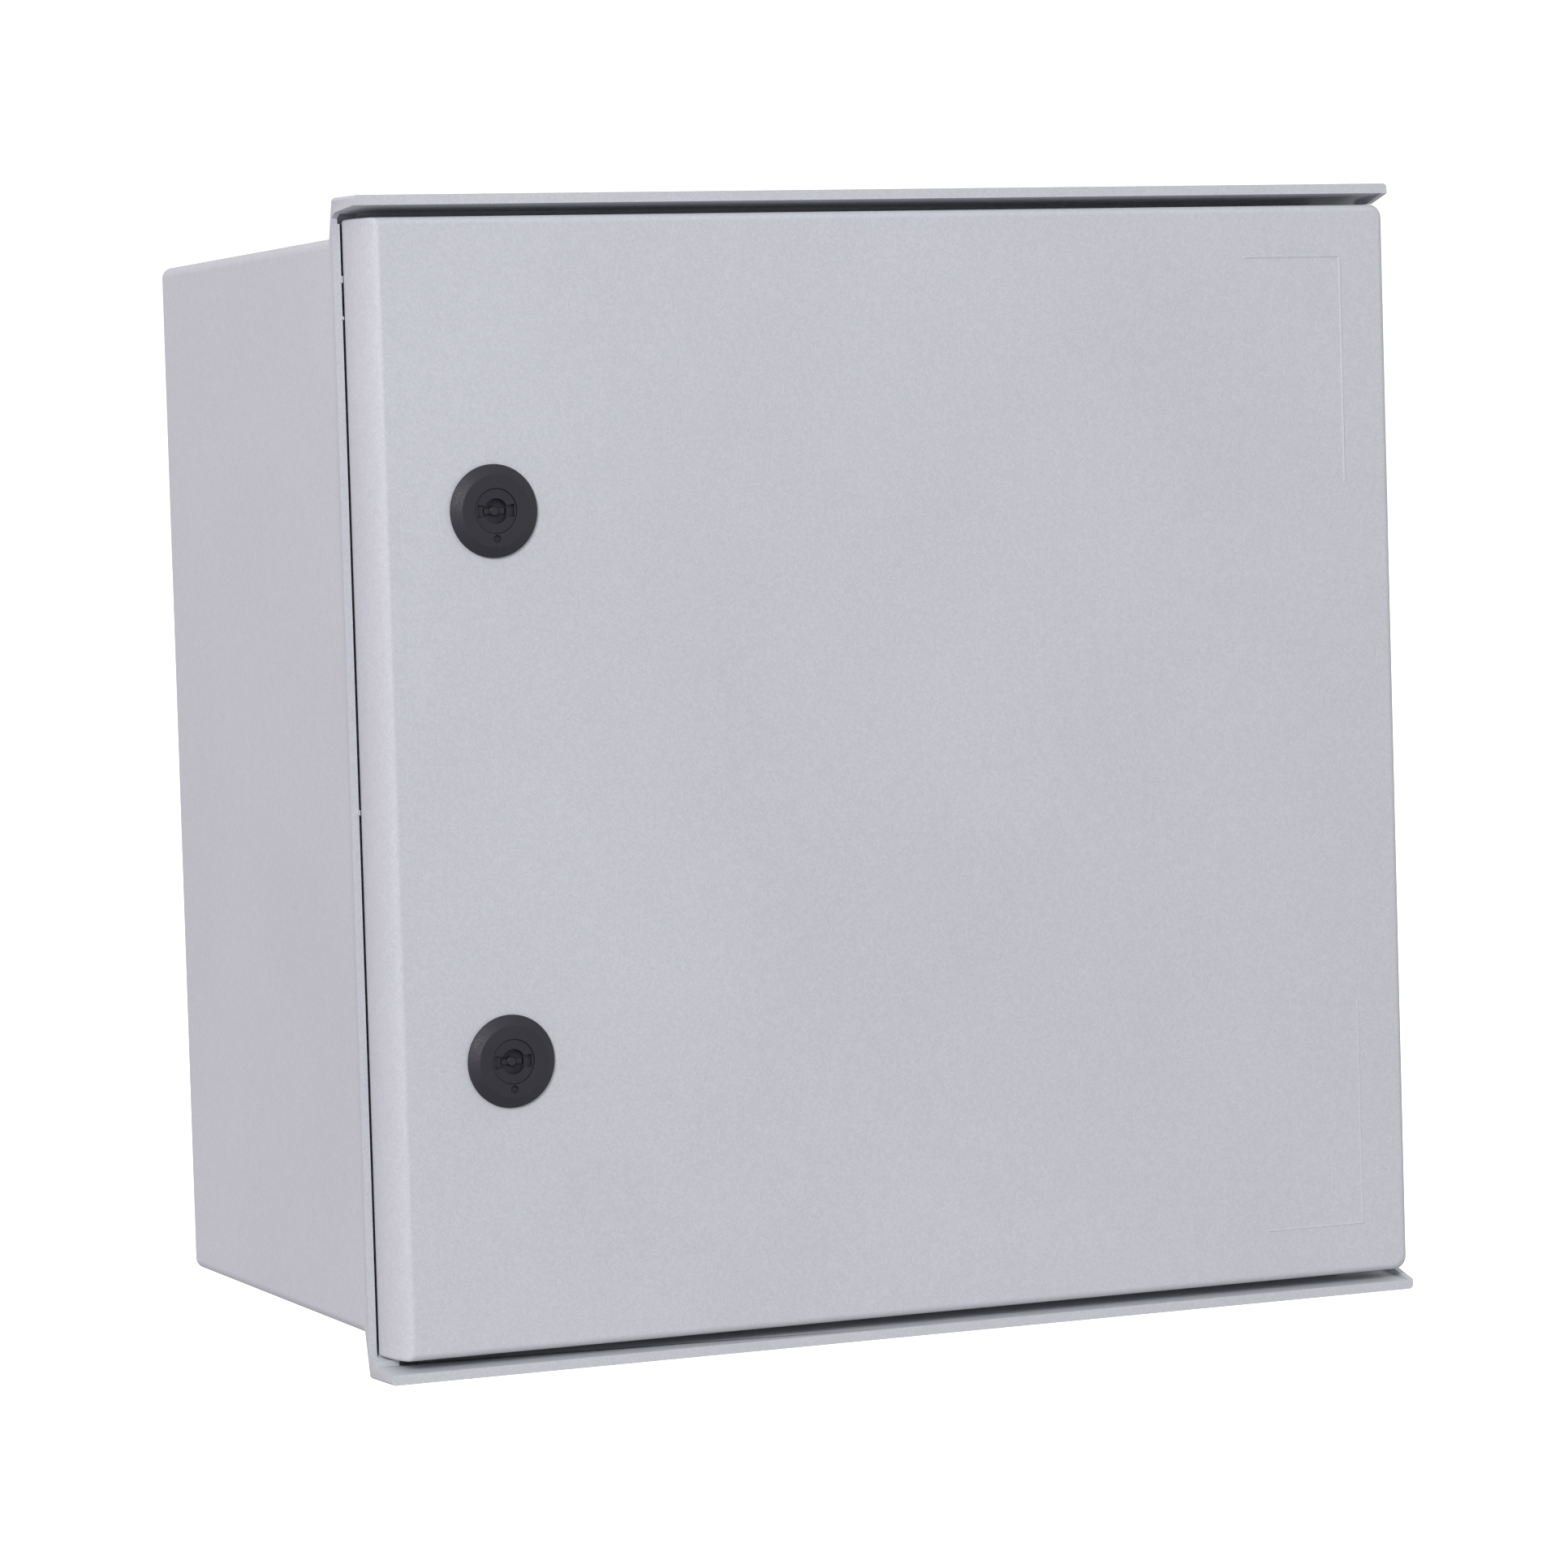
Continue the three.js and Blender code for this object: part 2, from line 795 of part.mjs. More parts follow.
function hingeBracket(z) {
  const { x, depth, halfKnuckle, knuckleRadius, bracketLeft, armThickness, plateThickness } = HINGE;
  const bottom = z - halfKnuckle;
  const top = z + halfKnuckle;
  const seat = CHANNEL.deckFront + FIT_GAP;
  const base = box(bracketLeft, HINGE.bracketRight, seat, seat + plateThickness, bottom, z + HINGE.baseReach);
  const webHalf = armThickness / 2;
  const arm = box(bracketLeft, bracketLeft + armThickness, seat, depth + webHalf, bottom, top);
  const web = box(bracketLeft, x - HINGE.pinRadius, depth - webHalf, depth + webHalf, bottom, top);
  const knuckle = rodAlongZ(knuckleRadius, bottom, top, x, depth);
  const bore = rodAlongZ(HINGE.boreRadius, bottom - OVERSHOOT, top + OVERSHOOT, x, depth, SIDES.pin);
  const screwHole = rodAlongY(
    HINGE_SCREW.clearance,
    seat - OVERSHOOT,
    seat + plateThickness + OVERSHOOT,
    HINGE.screwX,
    z + HINGE.screwReach,
    SIDES.screw
  );
  return cut(join(base, arm, web, knuckle), bore, screwHole);
}

function hingeLeaf(z) {
  const { x, depth, halfKnuckle, halfLeaf, knuckleGap, knuckleRadius, plateThickness, leafArmHalf } = HINGE;
  const front = DOOR.front - DOOR.thickness - FIT_GAP;
  const inner = DOOR.right - DOOR.thickness - 2 * FIT_GAP;
  const plateLeft = x - HINGE.leafReach;
  let leaf = box(plateLeft, inner, front - plateThickness, front, z - halfLeaf, z + halfLeaf);
  for (const side of [-1, 1]) {
    const near = z + side * (halfKnuckle + knuckleGap);
    const far = z + side * halfLeaf;
    const bottom = Math.min(near, far);
    const top = Math.max(near, far);
    const arm = box(x - leafArmHalf, x + leafArmHalf, depth, front - OVERSHOOT, bottom, top);
    leaf = join(leaf, arm, rodAlongZ(knuckleRadius, bottom, top, x, depth));
  }
  const overall = halfLeaf + OVERSHOOT;
  return cut(leaf, rodAlongZ(HINGE.boreRadius, z - overall, z + overall, x, depth, SIDES.pin));
}

function hingePin(z) {
  const { x, depth, halfLeaf, pinRadius } = HINGE;
  return rodAlongZ(pinRadius, z - halfLeaf, z + halfLeaf, x, depth, SIDES.pin);
}

// Locks

function lockHousing(z) {
  const bore = LOCK.rotorRadius + FIT_GAP;
  const headBore = LOCK.rotorHeadRadius + FIT_GAP;
  const seat = DOOR.front + FIT_GAP;
  const outline = [
    [bore, LOCK.neckBack],
    [bore, LOCK.rotorHeadBack - FIT_GAP],
    [headBore, LOCK.rotorHeadBack - FIT_GAP],
    [headBore, LOCK.capFront],
    [LOCK.capFaceRadius, LOCK.capFront],
    [LOCK.capRadius, LOCK.capEdge],
    [LOCK.capRadius, seat],
    [LOCK.neckRadius, seat],
    [LOCK.neckRadius, LOCK.neckBack]
  ];
  const index = rodAlongY(
    LOCK.indexRadius,
    LOCK.capFront - LOCK.indexSunk,
    LOCK.capFront + OVERSHOOT,
    LOCK.x,
    z - LOCK.indexDrop,
    SIDES.screw
  );
  return cut(turned(outline, LOCK.x, z), index);
}

function lockRotor(z) {
  const { x, squareHalf, keySlotHalfWidth, keySlotHalfHeight, keyBitHalfWidth, keyBitHalfHeight } = LOCK;
  const past = LOCK.rotorFront + OVERSHOOT;
  const head = rodAlongY(LOCK.rotorHeadRadius, LOCK.rotorHeadBack, LOCK.rotorFront, x, z, SIDES.face);
  const throat = LOCK.rotorHeadBack + OVERSHOOT;
  const barrel = rodAlongY(LOCK.rotorRadius, LOCK.rotorBack, throat, x, z, SIDES.face);
  const square = box(
    x - squareHalf,
    x + squareHalf,
    LOCK.squareBack,
    LOCK.rotorBack + OVERSHOOT,
    z - squareHalf,
    z + squareHalf
  );
  const keyWell = rodAlongY(LOCK.keyRadius, LOCK.keyBack, past, x, z);
  const keySlot = box(
    x - keySlotHalfWidth,
    x + keySlotHalfWidth,
    LOCK.keySlotBack,
    past,
    z - keySlotHalfHeight,
    z + keySlotHalfHeight
  );
  const sunk = LOCK.rotorFront - OVERSHOOT;
  const post = rodAlongY(LOCK.keyPostRadius, LOCK.keyBack - OVERSHOOT, sunk, x, z, SIDES.pin);
  const bits = box(
    x - keyBitHalfWidth,
    x + keyBitHalfWidth,
    LOCK.keyBack - OVERSHOOT,
    sunk,
    z - keyBitHalfHeight,
    z + keyBitHalfHeight
  );
  const thread = rodAlongY(
    CAM_SCREW.clearance,
    LOCK.squareBack - OVERSHOOT,
    LOCK.squareBack + LOCK.threadLength,
    x,
    z,
    SIDES.screw
  );
  return cut(join(cut(join(head, barrel, square), keyWell, keySlot), post, bits), thread);
}

// A hexagonal nut or a round washer around the lock's neck.
function collar(radius, back, front, z, sides) {
  return cut(
    rodAlongY(radius, back, front, LOCK.x, z, sides),
    rodAlongY(LOCK.neckRadius + FIT_GAP, back - OVERSHOOT, front + OVERSHOOT, LOCK.x, z, SIDES.ring)
  );
}

function lockSeal(z) {
  const front = DOOR.front - DOOR.thickness - FIT_GAP;
  return collar(LOCK.sealRadius, front - LOCK.sealThickness, front, z, SIDES.ring);
}

function lockNut(z) {
  const front = DOOR.front - DOOR.thickness - 2 * FIT_GAP - LOCK.sealThickness;
  return collar(LOCK.nutRadius, front - LOCK.nutThickness, front, z, LOCK.nutSides);
}

function lockCam(z) {
  const { x, camBack, camFront, camHalfWidth, camReach, squareHalf } = LOCK;
  const hole = squareHalf + FIT_GAP;
  const root = rodAlongY(LOCK.camRootRadius, camBack, camFront, x, z, SIDES.ring);
  const arm = box(x - camHalfWidth, x + camHalfWidth, camBack, camFront, z, z + camReach);
  const past = [camBack - OVERSHOOT, camFront + OVERSHOOT];
  return cut(join(root, arm), box(x - hole, x + hole, ...past, z - hole, z + hole));
}

function camScrew(z) {
  const seat = LOCK.screwBack + CAM_SCREW.headHeight;
  return screw(CAM_SCREW, LOCK.squareBack + LOCK.screwLength, seat, LOCK.x, z, -1);
}

// Assembly

place('enclosure_body', enclosureBody(), polyester);
place('mounting_plate', mountingPlate(), zincSteel);

CORNERS.forEach(([sideX, sideZ], index) => {
  const seat = PLATE.front + FIT_GAP;
  const plateScrew = screw(PLATE_SCREW, PLATE_SCREW.tip, seat, sideX * BOSS.x, sideZ * BOSS.z);
  place(`plate_screw_${index + 1}`, plateScrew, zincSteel);
  place(`wall_plug_${index + 1}`, wallPlug(sideX * WALL_HOLE.x, sideZ * WALL_HOLE.z), greyPolyamide);
  const railZ = sideZ > 0 ? RAIL.upperZ : RAIL.lowerZ;
  const railSeat = RAIL_BACK + RAIL.sheet + FIT_GAP;
  const railScrew = screw(RAIL_SCREW, RAIL_SCREW.tip, railSeat, sideX * RAIL.screwX, railZ);
  place(`rail_screw_${index + 1}`, railScrew, zincSteel);
});

place('upper_din_rail', topHatRail(RAIL.upperZ), zincSteel);
place('lower_din_rail', topHatRail(RAIL.lowerZ), zincSteel);

const FOUR_POLES = 4;
const PAIR_OFFSET = (FOUR_POLES * DEVICE.modulePitch) / 2;
const MAIN_TOGGLE_WIDTH = 38;
const RESIDUAL_TOGGLE_WIDTH = 14;
const BREAKER_TOGGLE_WIDTH = 6;
const BREAKERS = 6;

const mainBody = deviceBody(-PAIR_OFFSET, RAIL.upperZ, FOUR_POLES, MAIN_TOGGLE_WIDTH);
place('main_switch_body', mainBody, greyPolyamide);
place('main_switch_toggle', toggle(-PAIR_OFFSET, RAIL.upperZ, MAIN_TOGGLE_WIDTH), redHandle);

const residualBody = deviceBody(PAIR_OFFSET, RAIL.upperZ, FOUR_POLES, RESIDUAL_TOGGLE_WIDTH);
const buttonX = PAIR_OFFSET + TEST_BUTTON.offsetX;
place('residual_current_body', withButtonWell(residualBody, buttonX, RAIL.upperZ), greyPolyamide);
place('residual_current_toggle', toggle(PAIR_OFFSET, RAIL.upperZ, RESIDUAL_TOGGLE_WIDTH), blueHandle);
place('residual_current_test_button', testButton(buttonX, RAIL.upperZ), yellowButton);

for (let i = 0; i < BREAKERS; i += 1) {
  const x = (i - (BREAKERS - 1) / 2) * DEVICE.modulePitch;
  place(`breaker_body_${i + 1}`, deviceBody(x, RAIL.lowerZ, 1, BREAKER_TOGGLE_WIDTH), greyPolyamide);
  place(`breaker_toggle_${i + 1}`, toggle(x, RAIL.lowerZ, BREAKER_TOGGLE_WIDTH), blackPolyamide);
}

for (const [name, side] of [['neutral', -1], ['earth', 1]]) {
  place(`${name}_bar_carrier`, barCarrier(side * BAR.x), greyPolyamide);
  place(`${name}_bar`, terminalBar(side * BAR.x), brass);
}

place('door_panel', doorPanel(), polyester);
place('door_gasket', doorGasket(), foam);

for (const [name, side] of ENDS) {
  const hingeZ = side * HINGE.z;
  const lockZ = side * LOCK.z;
  const screwSeat = CHANNEL.deckFront + 2 * FIT_GAP + HINGE.plateThickness;
  const screwZ = hingeZ + HINGE.screwReach;
  place(`${name}_hinge_bracket`, hingeBracket(hingeZ), zincSteel);
  place(
    `${name}_hinge_screw`,
    screw(HINGE_SCREW, HINGE_SCREW.tip, screwSeat, HINGE.screwX, screwZ),
    zincSteel
  );
  place(`${name}_hinge_leaf`, hingeLeaf(hingeZ), zincSteel);
  place(`${name}_hinge_pin`, hingePin(hingeZ), zincSteel);
  place(`${name}_lock_housing`, lockHousing(lockZ), blackPolyamide);
  place(`${name}_lock_seal`, lockSeal(lockZ), rubber);
  place(`${name}_lock_nut`, lockNut(lockZ), pressedZinc);
  place(`${name}_lock_rotor`, lockRotor(lockZ), blackPolyamide);
  place(`${name}_lock_cam`, lockCam(lockZ), zincSteel);
  place(`${name}_cam_screw`, camScrew(lockZ), zincSteel);
}

export default cabinet;
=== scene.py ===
"""The looks of a wall-mounting polyester switchboard cabinet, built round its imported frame.

Blender works in metres with +Z up, the door faces -Y, and the origin is the centre of the back face.
Sizes here are in millimetres: x to the right, "depth" forward of the back face along -Y, and z up.
Places come from the frame's nodes, and each piece repeats the driving sizes of the node it stands for.
"""

import json
import math

import bmesh
import bpy
from mathutils import Matrix, Vector


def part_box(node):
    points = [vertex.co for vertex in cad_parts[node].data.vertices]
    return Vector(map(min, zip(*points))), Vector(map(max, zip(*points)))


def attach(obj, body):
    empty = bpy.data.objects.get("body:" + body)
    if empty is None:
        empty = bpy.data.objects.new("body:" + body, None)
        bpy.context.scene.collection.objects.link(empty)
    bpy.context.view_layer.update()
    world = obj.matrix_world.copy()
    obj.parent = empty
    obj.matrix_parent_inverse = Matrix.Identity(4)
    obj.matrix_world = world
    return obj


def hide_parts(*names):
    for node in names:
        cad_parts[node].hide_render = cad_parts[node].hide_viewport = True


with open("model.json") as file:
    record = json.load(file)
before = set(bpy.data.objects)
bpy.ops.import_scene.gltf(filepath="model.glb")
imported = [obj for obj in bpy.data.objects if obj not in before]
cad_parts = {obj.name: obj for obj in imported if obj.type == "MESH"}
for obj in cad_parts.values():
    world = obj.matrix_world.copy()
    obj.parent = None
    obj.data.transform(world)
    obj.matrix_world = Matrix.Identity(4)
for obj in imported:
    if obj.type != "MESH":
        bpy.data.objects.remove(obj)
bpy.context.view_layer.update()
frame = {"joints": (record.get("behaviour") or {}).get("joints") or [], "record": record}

MM = 0.001
ENDS = (("upper", 1), ("lower", -1))
BODY_OF = {
    node: body
    for body, nodes in frame["record"]["behaviour"]["bodies"].items()
    for node in nodes
}
SLOT_OF = {row["node"]: row["material_slot"] for row in frame["record"]["subparts"]}


# Points and outlines

def at(x, depth, z):
    """A Blender point from millimetres right, forward and up."""
    return (x * MM, -depth * MM, z * MM)


def extent(node):
    """A node's extent in millimetres: left, right, back, front, bottom, top."""
    low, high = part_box(node)
    return (
        low.x / MM, high.x / MM,
        -high.y / MM, -low.y / MM,
        low.z / MM, high.z / MM,
    )


def centre(node):
    """The middle of a node's front view, as millimetres (x, z)."""
    left, right, _, _, bottom, top = extent(node)
    return (left + right) / 2, (bottom + top) / 2


def arc(u, v, radius, start, stop, steps):
    """Points (u, v) along an arc, from one angle to another in degrees."""
    angles = [math.radians(start + (stop - start) * step / steps) for step in range(steps + 1)]
    return [(u + radius * math.cos(angle), v + radius * math.sin(angle)) for angle in angles]


def filleted(outline, radii, steps=4):
    """An outline with its corners rounded, by one radius or by a radius for each corner."""
    if isinstance(radii, (int, float)):
        radii = [radii] * len(outline)
    points = []
    for i, radius in enumerate(radii):
        corner = Vector(outline[i])
        if radius == 0:
            points.append(tuple(corner))
            continue
        before = (Vector(outline[i - 1]) - corner).normalized()
        after = (Vector(outline[(i + 1) % len(outline)]) - corner).normalized()
        half = before.angle(after) / 2
        middle = corner + (before + after).normalized() * radius / math.sin(half)
        reach = radius / math.tan(half)
        start = corner + before * reach - middle
        stop = corner + after * reach - middle
        turn = start.angle(stop)
        for step in range(steps + 1):
            share = step / steps
            spoke = start * math.sin((1 - share) * turn) + stop * math.sin(share * turn)
            points.append(tuple(middle + spoke / math.sin(turn)))
    return points


def rectangle(left, right, bottom, top):
    return [(right, top), (left, top), (left, bottom), (right, bottom)]


def mirrored(half):
    """Adds the mirror image across z = 0 to half an outline of (depth, z) points."""
    return half + [(depth, -z) for depth, z in reversed(half)]


def ring(depth, half_width, half_height, radius, steps=8):
    """A rounded rectangle about the origin, at a depth. half_width is one number, or one for each side."""
    left, right = half_width if isinstance(half_width, tuple) else (half_width, half_width)
    outline = rectangle(-left, right, -half_height, half_height)
    return [at(x, depth, z) for x, z in filleted(outline, radius, steps)]


# Solids

def new_object(name, mesh):
    piece = bpy.data.objects.new(name, mesh)
    bpy.context.scene.collection.objects.link(piece)
    return piece


def from_bmesh(name, bm):
    bmesh.ops.recalc_face_normals(bm, faces=bm.faces)
    mesh = bpy.data.meshes.new(name)
    bm.to_mesh(mesh)
    bm.free()
    return new_object(name, mesh)


def loft(name, rings, closed=False):
    """A solid through rings of points with one count. It is capped, or closed on itself as a hoop is."""
    bm = bmesh.new()
    loops = [[bm.verts.new(point) for point in points] for points in rings]
    count = len(rings[0])
    pairs = list(zip(loops, loops[1:]))
    if closed:
        pairs.append((loops[-1], loops[0]))
    for near, far in pairs:
        for i in range(count):
            j = (i + 1) % count
            bm.faces.new((near[i], near[j], far[j], far[i]))
    if not closed:
        bm.faces.new(loops[0])
        bm.faces.new(loops[-1])
    return from_bmesh(name, bm)


def prism_x(name, outline, left, right):
    """A prism along X from (depth, z) points."""
    return loft(name, [[at(x, depth, z) for depth, z in outline] for x in (left, right)])


def prism_y(name, outline, back, front):
    """A prism along Y from (x, z) points."""
    return loft(name, [[at(x, depth, z) for x, z in outline] for depth in (back, front)])


def prism_z(name, outline, bottom, top):
    """A prism along Z from (x, depth) points."""
    return loft(name, [[at(x, depth, z) for x, depth in outline] for z in (bottom, top)])


def block(name, left, right, back, front, bottom, top):
    return prism_y(name, rectangle(left, right, bottom, top), back, front)


def revolve(name, profile, place, axis="Y", segments=96):
    """A turned solid. The profile is (radius, distance along the axis), and place is where the axis lies:
    (x, z) for an axis along Y, (depth, z) along X, or (x, depth) along Z."""
    spin = [2 * math.pi * i / segments for i in range(segments)]

    def point(radius, along, angle):
        u = place[0] + radius * math.cos(angle)
        v = place[1] + radius * math.sin(angle)
        return {"X": at(along, u, v), "Y": at(u, along, v), "Z": at(u, v, along)}[axis]

    bm = bmesh.new()
    rows = []
    for radius, along in profile:
        angles = spin if radius > 0 else [0]
        rows.append([bm.verts.new(point(radius, along, angle)) for angle in angles])
    pairs = list(zip(rows, rows[1:]))
    if profile[0][0] > 0:
        pairs.append((rows[-1], rows[0]))
    for near, far in pairs:
        if len(near) == len(far) == 1:
            continue
        for i in range(segments):
            j = (i + 1) % segments
            if len(near) == 1:
                bm.faces.new((near[0], far[j], far[i]))
            elif len(far) == 1:
                bm.faces.new((near[i], near[j], far[0]))
            else:
                bm.faces.new((near[i], near[j], far[j], far[i]))
    return from_bmesh(name, bm)


def rod(name, radius, start, stop, place, axis="Y", segments=48):
    return revolve(name, [(0, start), (radius, start), (radius, stop), (0, stop)], place, axis, segments)


def gathered(name, pieces):
    """One object from several that lie apart."""
    bm = bmesh.new()
    for piece in pieces:
        bm.from_mesh(piece.data)
        bpy.data.objects.remove(piece)
    return from_bmesh(name, bm)


def boolean(target, tool, operation):
    modifier = target.modifiers.new(operation, "BOOLEAN")
    modifier.operation = operation
    modifier.solver = "EXACT"
    modifier.object = tool
    bpy.context.view_layer.update()
    evaluated = target.evaluated_get(bpy.context.evaluated_depsgraph_get())
    mesh = bpy.data.meshes.new_from_object(evaluated)
    target.modifiers.clear()
    target.data = mesh
    bpy.data.objects.remove(tool)


def carve(target, *tools):
    for tool in tools:
        boolean(target, tool, "DIFFERENCE")
    return target


def fuse(target, *tools):
    for tool in tools:
        boolean(target, tool, "UNION")
    return target


def soften(piece, width, segments=3, angle=32):
    """Rounds a piece's edges, and shades it smooth with its flat faces kept flat."""
    bevel = piece.modifiers.new("edges", "BEVEL")
    bevel.width = width * MM
    bevel.segments = segments
    bevel.limit_method = "ANGLE"
    bevel.angle_limit = math.radians(angle)
    bevel.miter_outer = "MITER_ARC"
    smooth(piece, angle)
    weighted = piece.modifiers.new("flats", "WEIGHTED_NORMAL")
    weighted.keep_sharp = True
    return piece


def smooth(piece, angle=32):
    for polygon in piece.data.polygons:
        polygon.use_smooth = True
    piece.data.set_sharp_from_angle(angle=math.radians(angle))
    return piece


# Materials

# The sockets of a Mix node that mixes colours.
MIX_FACTOR, MIX_A, MIX_B, MIX_RESULT = 0, 6, 7, 2


class Shader:
    """A Principled material and short ways to add nodes to it."""

    def __init__(self, name, color, roughness, metallic=0.0):
        self.material = bpy.data.materials.new(name)
        self.material.use_nodes = True
        self.nodes = self.material.node_tree.nodes
        self.links = self.material.node_tree.links
        self.bsdf = self.nodes["Principled BSDF"]
        self.bsdf.inputs["Metallic"].default_value = metallic
        self.bsdf.inputs["Roughness"].default_value = roughness
        self.bsdf.inputs["Base Color"].default_value = (*color, 1)
        self.coordinates = self.nodes.new("ShaderNodeTexCoord").outputs["Object"]
        self.height = None

    def stretched(self, scale):
        mapping = self.nodes.new("ShaderNodeMapping")
        mapping.inputs["Scale"].default_value = scale
        self.links.new(self.coordinates, mapping.inputs["Vector"])
        return mapping.outputs["Vector"]

    def noise(self, scale, detail=3.0, vector=None, distortion=0.0):
        node = self.nodes.new("ShaderNodeTexNoise")
        node.inputs["Scale"].default_value = scale
        node.inputs["Detail"].default_value = detail
        node.inputs["Distortion"].default_value = distortion
        self.links.new(vector or self.coordinates, node.inputs["Vector"])
        return node.outputs["Fac"]

    def cells(self, scale, output="Color"):
        node = self.nodes.new("ShaderNodeTexVoronoi")
        node.inputs["Scale"].default_value = scale
        self.links.new(self.coordinates, node.inputs["Vector"])
        return node.outputs[output]

    def ramp(self, factor, stops):
        node = self.nodes.new("ShaderNodeValToRGB")
        elements = node.color_ramp.elements
        while len(elements) < len(stops):
            elements.new(0.5)
        for element, (place, color) in zip(elements, stops):
            element.position = place
            element.color = (*color, 1)
        self.links.new(factor, node.inputs["Fac"])
        return node.outputs["Color"]

    def multiply(self, first, second):
        node = self.nodes.new("ShaderNodeMix")
        node.data_type = "RGBA"
        node.blend_type = "MULTIPLY"
        node.inputs[MIX_FACTOR].default_value = 1
        self.links.new(first, node.inputs[MIX_A])
        self.links.new(second, node.inputs[MIX_B])
        return node.outputs[MIX_RESULT]

    def remap(self, factor, low, high):
        """Stretches a noise, which keeps mostly between 0.3 and 0.7, over a range."""
        node = self.nodes.new("ShaderNodeMapRange")
        node.inputs["From Min"].default_value = 0.3
        node.inputs["From Max"].default_value = 0.7
        node.inputs["To Min"].default_value = low
        node.inputs["To Max"].default_value = high
        self.links.new(factor, node.inputs["Value"])
        return node.outputs["Result"]

    def color(self, output):
        self.links.new(output, self.bsdf.inputs["Base Color"])

    def roughness(self, output):
        self.links.new(output, self.bsdf.inputs["Roughness"])

    def bump(self, height, strength, distance):
        """Adds relief, in millimetres, on top of any relief added before."""
        node = self.nodes.new("ShaderNodeBump")
        node.inputs["Strength"].default_value = strength
        node.inputs["Distance"].default_value = distance * MM
        self.links.new(height, node.inputs["Height"])
        if self.height:
            self.links.new(self.height, node.inputs["Normal"])
        self.height = node.outputs["Normal"]
        self.links.new(self.height, self.bsdf.inputs["Normal"])


def shade(color, factor):
    """A darker or lighter shade of a colour."""
    return tuple(channel * factor for channel in color)


def polyester(name, color):
    """Hot-pressed glass-fibre polyester: satin, faintly mottled, with a fine grain and a slow waviness."""
    shader = Shader(name, color, 0.5)
    clouds = shader.noise(7, 4)
    fibres = shader.noise(330, 3, distortion=2.5)
    grain = shader.noise(1300, 2)
    base = shader.ramp(clouds, [(0.3, shade(color, 0.975)), (0.7, shade(color, 1.02))])
    flecks = shader.ramp(fibres, [(0.42, (0.93, 0.93, 0.935)), (0.6, (1, 1, 1))])
    speckle = shader.ramp(grain, [(0.35, (0.94, 0.94, 0.945)), (0.62, (1, 1, 1))])
    shader.color(shader.multiply(shader.multiply(base, flecks), speckle))
    shader.roughness(shader.remap(fibres, 0.44, 0.56))
    shader.bump(shader.noise(28, 2), 0.08, 2)
    shader.bump(fibres, 0.08, 0.25)
    shader.bump(grain, 0.18, 0.12)
    return shader.material


def moulded(name, color, roughness=0.42, grain=1600, relief=0.25):
    """Injection-moulded plastic with a spark-eroded texture and slightly uneven pigment."""
    shader = Shader(name, color, roughness)
    clouds = shader.noise(45, 3)
    sparks = shader.noise(grain, 3)
    pigment = shader.ramp(clouds, [(0.3, shade(color, 0.9)), (0.7, shade(color, 1.08))])
    dust = shader.ramp(shader.noise(grain / 3, 2), [(0.4, (0.94, 0.94, 0.94)), (0.6, (1, 1, 1))])
    shader.color(shader.multiply(pigment, dust))
    shader.roughness(shader.remap(sparks, roughness - 0.07, roughness + 0.09))
    shader.bump(sparks, relief, 0.08)
    return shader.material


def plated(name, color, roughness=0.32, along=(1, 1, 1), tint=(1, 1, 1)):
    """Plated steel: drawn lines, cloudy plating and small stains."""
    shader = Shader(name, color, roughness, 1.0)
    lines = shader.noise(420, 3, shader.stretched(along))
    clouds = shader.noise(60, 4)
    stains = shader.noise(170, 3, distortion=1.5)
    base = shader.ramp(clouds, [(0.32, shade(color, 0.92)), (0.7, shade(color, 1.04))])
    blush = shader.ramp(stains, [(0.35, tint), (0.6, (1, 1, 1))])
    shader.color(shader.multiply(base, blush))
    shader.roughness(shader.remap(stains, roughness - 0.04, roughness + 0.1))
    shader.bump(lines, 0.12, 0.04)
    return shader.material


def galvanised(name, color):
    """Hot-dip galvanised sheet: a mosaic of zinc crystals, each with its own tone and gloss."""
    shader = Shader(name, color, 0.4, 1.0)
    crystals = shader.cells(150)
    tones = shader.ramp(crystals, [(0.1, shade(color, 0.92)), (0.9, shade(color, 1.05))])
    clouds = shader.ramp(shader.noise(16, 4), [(0.3, (0.9, 0.9, 0.91)), (0.7, (1, 1, 1))])
    shader.color(shader.multiply(tones, clouds))
    shader.roughness(shader.remap(crystals, 0.34, 0.46))
    shader.bump(shader.noise(900, 2), 0.1, 0.06)
    return shader.material


def foamed(name, color):
    """Foamed-in-place polyurethane: a dull skin over small closed cells."""
    shader = Shader(name, color, 0.9)
    pores = shader.cells(1500, "Distance")
    swells = shader.noise(90, 3)
    shader.color(shader.ramp(swells, [(0.3, shade(color, 0.75)), (0.7, shade(color, 1.3))]))
    shader.roughness(shader.remap(swells, 0.82, 0.96))
    shader.bump(swells, 0.5, 0.5)
    shader.bump(pores, 0.45, 0.18)
    return shader.material


def steel(name, color, roughness=0.3, along=(1, 1, 1)):
    return plated(name, color, roughness, along, (0.93, 0.92, 0.88))


